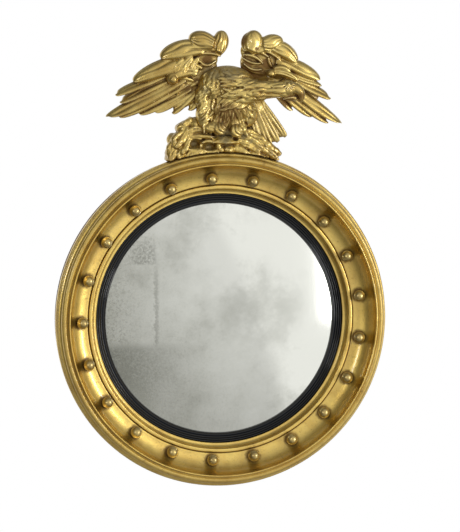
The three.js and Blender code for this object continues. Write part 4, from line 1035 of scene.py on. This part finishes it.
hand = random.Random(21)
locks = []
for row, z in enumerate(np.arange(88, 134, 5.0)):  # breast, in rows whose tips fall further left
    for k in range(7):
        x = 12 + k * 10 + (row % 2) * 5 + hand.uniform(-2, 2)
        locks.append(lock(x, z + hand.uniform(-1, 1), 182 + 0.9 * (112 - z) * (1 - k * 0.15) + hand.uniform(-12, 12),
                          hand.uniform(22, 28), hand.uniform(7.0, 9.0), rise=4.4, stand=3.4, ridges=2, groove=2.2,
                          bow=hand.choice((-4, -2.5, 2.5, 4)), point=1.7))
for row, z in enumerate(np.arange(96, 130, 4.8)):  # the neck's long wavy locks
    for k in range(4):
        x = 84 + k * 13 + (row % 2) * 6
        locks.append(lock(x, z, 181 + hand.uniform(-7, 7), hand.uniform(30, 38), hand.uniform(6, 8), rise=2.0,
                          stand=0.9, ridges=2, groove=0.9, bow=hand.uniform(-3, 3), point=2))
for row, z in enumerate(np.arange(96, 158, 6.0)):  # short strokes over the back
    for x in np.arange(-50, 16 - 0.25 * abs(z - 130), 7.0):
        locks.append(lock(x + (row % 2) * 3.5 + hand.uniform(-1, 1), z, -112 + 0.5 * x + hand.uniform(-22, 22),
                          hand.uniform(12, 17), hand.uniform(5, 7), rise=1.3, stand=0.8, ridges=2, groove=0.9,
                          bow=hand.uniform(-2, 2), point=1.8))
for row, z in enumerate(np.arange(52, 95, 6.5)):  # thighs and belly, fine and falling away from the middle
    for x in np.arange(-50, 62, 6.0):
        locks.append(lock(x + (row % 2) * 3 + hand.uniform(-1, 1), z + 10, -90 + 1.0 * (x - 5) + hand.uniform(-16, 16),
                          hand.uniform(19, 25), hand.uniform(5.5, 7.5), rise=2.6, stand=1.8, ridges=1,
                          bow=hand.uniform(-3, 3)))

body = shell("carved_body", [
    *[boss(middle, half) for middle, half in LUMPS], tube(NECK),
    boss((113, 115, 79), (18, 15, 13.5)), boss((104, 107, 80), (14, 10, 10)),
    # the upper and the lower beak
    tube([(118, 117, 79, 11), (129, 114.5, 80, 10), (136, 108.5, 81, 8.6), (138.5, 101.5, 81, 7), (138, 95, 81, 5),
          (135.5, 90, 80, 2.4)]),
    tube([(108, 104, 79, 9), (120, 100, 78, 8), (129, 97, 77, 5.5), (133, 95.5, 76, 3)]),
    *[made for made in locks if made],
    # knuckles and ridged shanks over the ledge
    boss((-14, 47, 65), (20, 11, 10), ridges=6, groove=1.6, lean=1.45),
    boss((-24, 44, 67), (14, 9.5, 9), ridges=2, groove=1.4, lean=0.4, curl=-0.5),
    boss((-8.5, 42.5, 71), (13.5, 12, 9.5), ridges=3, groove=2.2, lean=0.9, curl=-0.6),
    boss((21.5, 38.5, 71), (14, 12.5, 11), ridges=3, groove=2.4, lean=1.0, curl=-0.7),
    boss((30, 44, 64), (13, 12, 9), ridges=4, groove=1.6, lean=1.3), boss((35, 41, 65), (7.5, 9, 9)),
    boss((-2, 57, 62), (13, 8, 9), ridges=4, groove=1.8, lean=1.2),
    boss((29, 58, 62), (14, 8, 9), ridges=4, groove=1.8, lean=1.0), boss((8, 42, 56), (26, 11, 9)),
    leaf((-38, 62, 64), (-37, 34, 68), 7, rise=5, ridges=1, edge=10),
    leaf((36, 42, 66), (44, 26, 66), 8, rise=4, ridges=1, edge=9),
])
one_block(body, 0.95, 1)


def carve(piece, cutting):
    """Moves each point of a skin in or out by what cutting(points, normals) gives, in millimetres."""
    mesh = piece.data
    count = len(mesh.vertices)
    place, normal = np.empty(count * 3), np.empty(count * 3)
    mesh.vertices.foreach_get("co", place)
    mesh.vertex_normals.foreach_get("vector", normal)
    place, normal = place.reshape(-1, 3), normal.reshape(-1, 3)
    crest = np.stack([place[:, 0] / MM, place[:, 2] / MM - FRAME_RADIUS, -place[:, 1] / MM], 1)
    outward = np.stack([normal[:, 0], normal[:, 2], -normal[:, 1]], 1)
    mesh.vertices.foreach_set("co", (place + normal * (cutting(crest, outward) * MM)[:, None]).ravel())
    mesh.update()


def scored(crest, line, wide):
    """How near each point lies to a line drawn through [x, z] places, from 0 to 1."""
    near = np.full(len(crest), 1e9)
    for (x0, z0), (x1, z1) in zip(line, line[1:]):
        dx, dz = x1 - x0, z1 - z0
        t = np.clip(((crest[:, 0] - x0) * dx + (crest[:, 1] - z0) * dz) / (dx ** 2 + dz ** 2), 0, 1)
        near = np.minimum(near, np.hypot(crest[:, 0] - x0 - t * dx, crest[:, 1] - z0 - t * dz))
    return np.exp(-(near / wide) ** 2)


EYE = (114, 123.5)
MOUTH = [(99, 96), (111, 98.5), (122, 101.5), (130, 102), (133, 96)]
BACK_FOLDS = ([(-13, 152), (-19, 132), (-17, 108), (-9, 84)], [(-30, 146), (-35, 124), (-31, 96)],
              [(-24, 138), (-28, 112), (-22, 88)], [(-40, 126), (-42, 98), (-36, 80)])


def features(crest, outward):
    """Cuts the eye with the short strokes round it, the mouth, and shallow folds over the back."""
    x, z, height = crest.T
    forward = (outward[:, 2] > 0) & (height > 70)
    ex, ez = x - EYE[0], z - EYE[1]
    distance = np.hypot(ex, ez)
    strokes = np.cos(np.arctan2(ez, ex) * 13) * np.exp(-((distance - 9) / 3.2) ** 2) * np.clip(0.5 - ez / 8, 0, 1)
    brow = 2.4 * np.exp(-((distance - 4.6) / 1.4) ** 2) * np.clip(0.4 + ez / 6, 0, 1)
    lid = 1.6 * np.exp(-(distance / 2.6) ** 2) - brow
    mouth = -2.6 * scored(crest, MOUTH, 1.2)
    side = np.clip((outward[:, 2] + 0.3) * 2, 0, 1) * (height > 46)
    folds = sum(scored(crest, line, 2.2) for line in BACK_FOLDS)
    return np.where(forward, 0.8 * strokes + lid + mouth, 0) - 0.35 * folds * side


carve(body, features)
dress(body, carved_gilding, "gilt_wood", "eagle_body")

# ---------------------------------------------------------------- rockwork
# A craggy block under the eagle, cut in draped folds with two hollows, glued on the top of the
# frame and gilded. Its upper faces are grey with dust.

ROCK = [(-103, -14), (-98, 4), (-91, 21), (-80, 33), (-66, 44), (-46, 48), (-26, 42), (-10, 32), (30, 32), (52, 38),
        (62, 22), (68, 12), (92, 6), (102, 0), (105, -16), (60, -34), (-60, -34)]


def slab(outline, low, high):
    """A flat block between two heights, sawn to an outline."""
    points = [(x, z, h) for h in (low, high) for x, z in outline]
    n = len(outline)
    faces = [tuple(range(n)), tuple(reversed(range(n, 2 * n)))]
    faces += [(i, i + n, (i + 1) % n + n, (i + 1) % n) for i in range(n)]
    return np.array(points, float), faces


def fold(root, tip, width, ridges=0, bow=0.0):
    """A rounded draped fold, with ridges that wander along it if any are asked for."""
    return leaf(root, tip, width, ridges=ridges, bow=bow, rise=4, groove=2.2, edge=12, neck=0.6, point=2.6, wander=0.3)


rock = shell("carved_rockwork", [
    slab(ROCK, 27, 52), slab([(0.78 * x, z) for x, z in ROCK], 4, 30),
    # left: the rounded top, the forked folds and the outer lobes
    boss((10, 32, 40), (12, 9, 9)), boss((-68, 41, 42), (16, 13, 15)), boss((-87, 20, 38), (12, 14, 15)),
    boss((-50, 48, 45), (14, 15, 14)),
    fold((-64, 46, 56), (-88, 8, 60), 12, 2, 3), fold((-60, 40, 57), (-76, -2, 61), 11, 2, 3),
    fold((-70, 38, 55), (-94, 20, 57), 10, 1, -2),
    fold((-82, 32, 50), (-100, -8, 53), 17, 2), fold((-84, 16, 53), (-98, -15, 56), 16, 2),
    fold((-54, 62, 50), (-74, 50, 54), 13, 2, 3), fold((-88, 30, 53), (-92, 10, 57), 9, 1, 2),
    fold((-60, 50, 50), (-84, 40, 50), 16, 2),
    fold((-72, 16, 55), (-80, -13, 58), 16, 2),
    fold((-68, 38, 57), (-26, 38, 60), 13, 2, 3), fold((-64, 27, 58), (-20, 27, 61), 9, 1, 3),
    # rims of the two hollows and the drapes below them
    fold((-66, 20, 57), (-40, 23, 59), 6, bow=5), fold((-40, 17, 57), (-12, 17, 58), 6, bow=3),
    fold((-66, 6, 57), (-38, 5, 58), 8, 1, -3), fold((-38, 2, 57), (-10, 4, 58), 7, 1, -2),
    boss((-40, 13, 47), (6, 9, 10)), boss((-9, 13, 49), (7, 10, 11)),
    fold((-68, -8, 56), (-48, 3, 59), 14, 2), fold((-52, -8, 57), (-32, 3, 59), 13, 2),
    fold((-34, -6, 57), (-8, 2, 59), 12, 2),
    # the flat ledge that the feet grip, and the block under it
    boss((5, 19, 48), (24, 9, 10)),
    leaf((-20, 23, 60), (30, 23, 61), 14, rise=0.8, edge=12, neck=0.95, point=6, belly=0.8, up=(0, 0.42, 0.91), wander=0),
    boss((11, 4, 53), (11, 9, 10)), boss((-3, 3, 50), (7, 9, 9)), boss((26, 6, 51), (9, 10, 9)),
    # right: thin ridges that run down to the corner
    boss((48, 22, 46), (20, 17, 12)), boss((40, 34, 42), (14, 12, 12)),
    fold((28, 32, 56), (76, 4, 57), 13, 3, 3), fold((38, 40, 53), (94, 2, 55), 14, 3, 3),
    fold((26, 22, 57), (68, -3, 58), 13, 3, 2), fold((26, 10, 56), (54, -7, 58), 12, 2, -2),
    fold((58, 11, 55), (101, -12, 56), 15, 2, 2), fold((72, 14, 50), (107, -8, 53), 15, 2, 2),
    fold((50, -3, 56), (84, -14, 57), 12, 2),
])
one_block(rock, 1.1, 1)
for texture_kind, size, strength in (("MUSGRAVE", 0.014, 1.4), ("CLOUDS", 0.004, 0.7)):
    texture = bpy.data.textures.new(f"chisel marks {size}", texture_kind)
    texture.noise_scale = size
    apply(rock, "DISPLACE", texture=texture, texture_coords="LOCAL", strength=strength * MM, mid_level=0.5)


HOLLOW_DEPTH = 8
HOLLOWS = ((-52, 15, 7.5, 6), (-25, 9.5, 10, 4.8), (-17, 31, 3.5, 4), (22, 25, 4, 3.5))  # x, z and two half widths


def bed(crest, outward):
    """Sinks the two hollows in the face and the holes at the ends of the ledge."""
    x, z, _ = crest.T
    dent = sum(np.exp(-(((x - hx) / rx) ** 2 + ((z - hz) / rz) ** 2) ** 2) for hx, hz, rx, rz in HOLLOWS)
    return -HOLLOW_DEPTH * dent * np.clip(outward[:, 2] + 0.2, 0, 1)


carve(rock, bed)
SEAT_IN_FRONT, SEAT_BEHIND, STEP_HEIGHT, BACK_GAP = 305.3, 300.3, 37, 4.0
for vertex in rock.data.vertices:  # the underside is scribed to the top of the turned frame
    radius = math.hypot(vertex.co.x, vertex.co.z)
    least = (SEAT_IN_FRONT if -vertex.co.y > STEP_HEIGHT * MM else SEAT_BEHIND) * MM
    if radius < least:
        vertex.co.x *= least / radius
        vertex.co.z *= least / radius
    vertex.co.y = min(vertex.co.y, -BACK_GAP * MM)
rock.data.update()
dress(rock, rock_gilding, "gilt_wood", "rockwork_base")
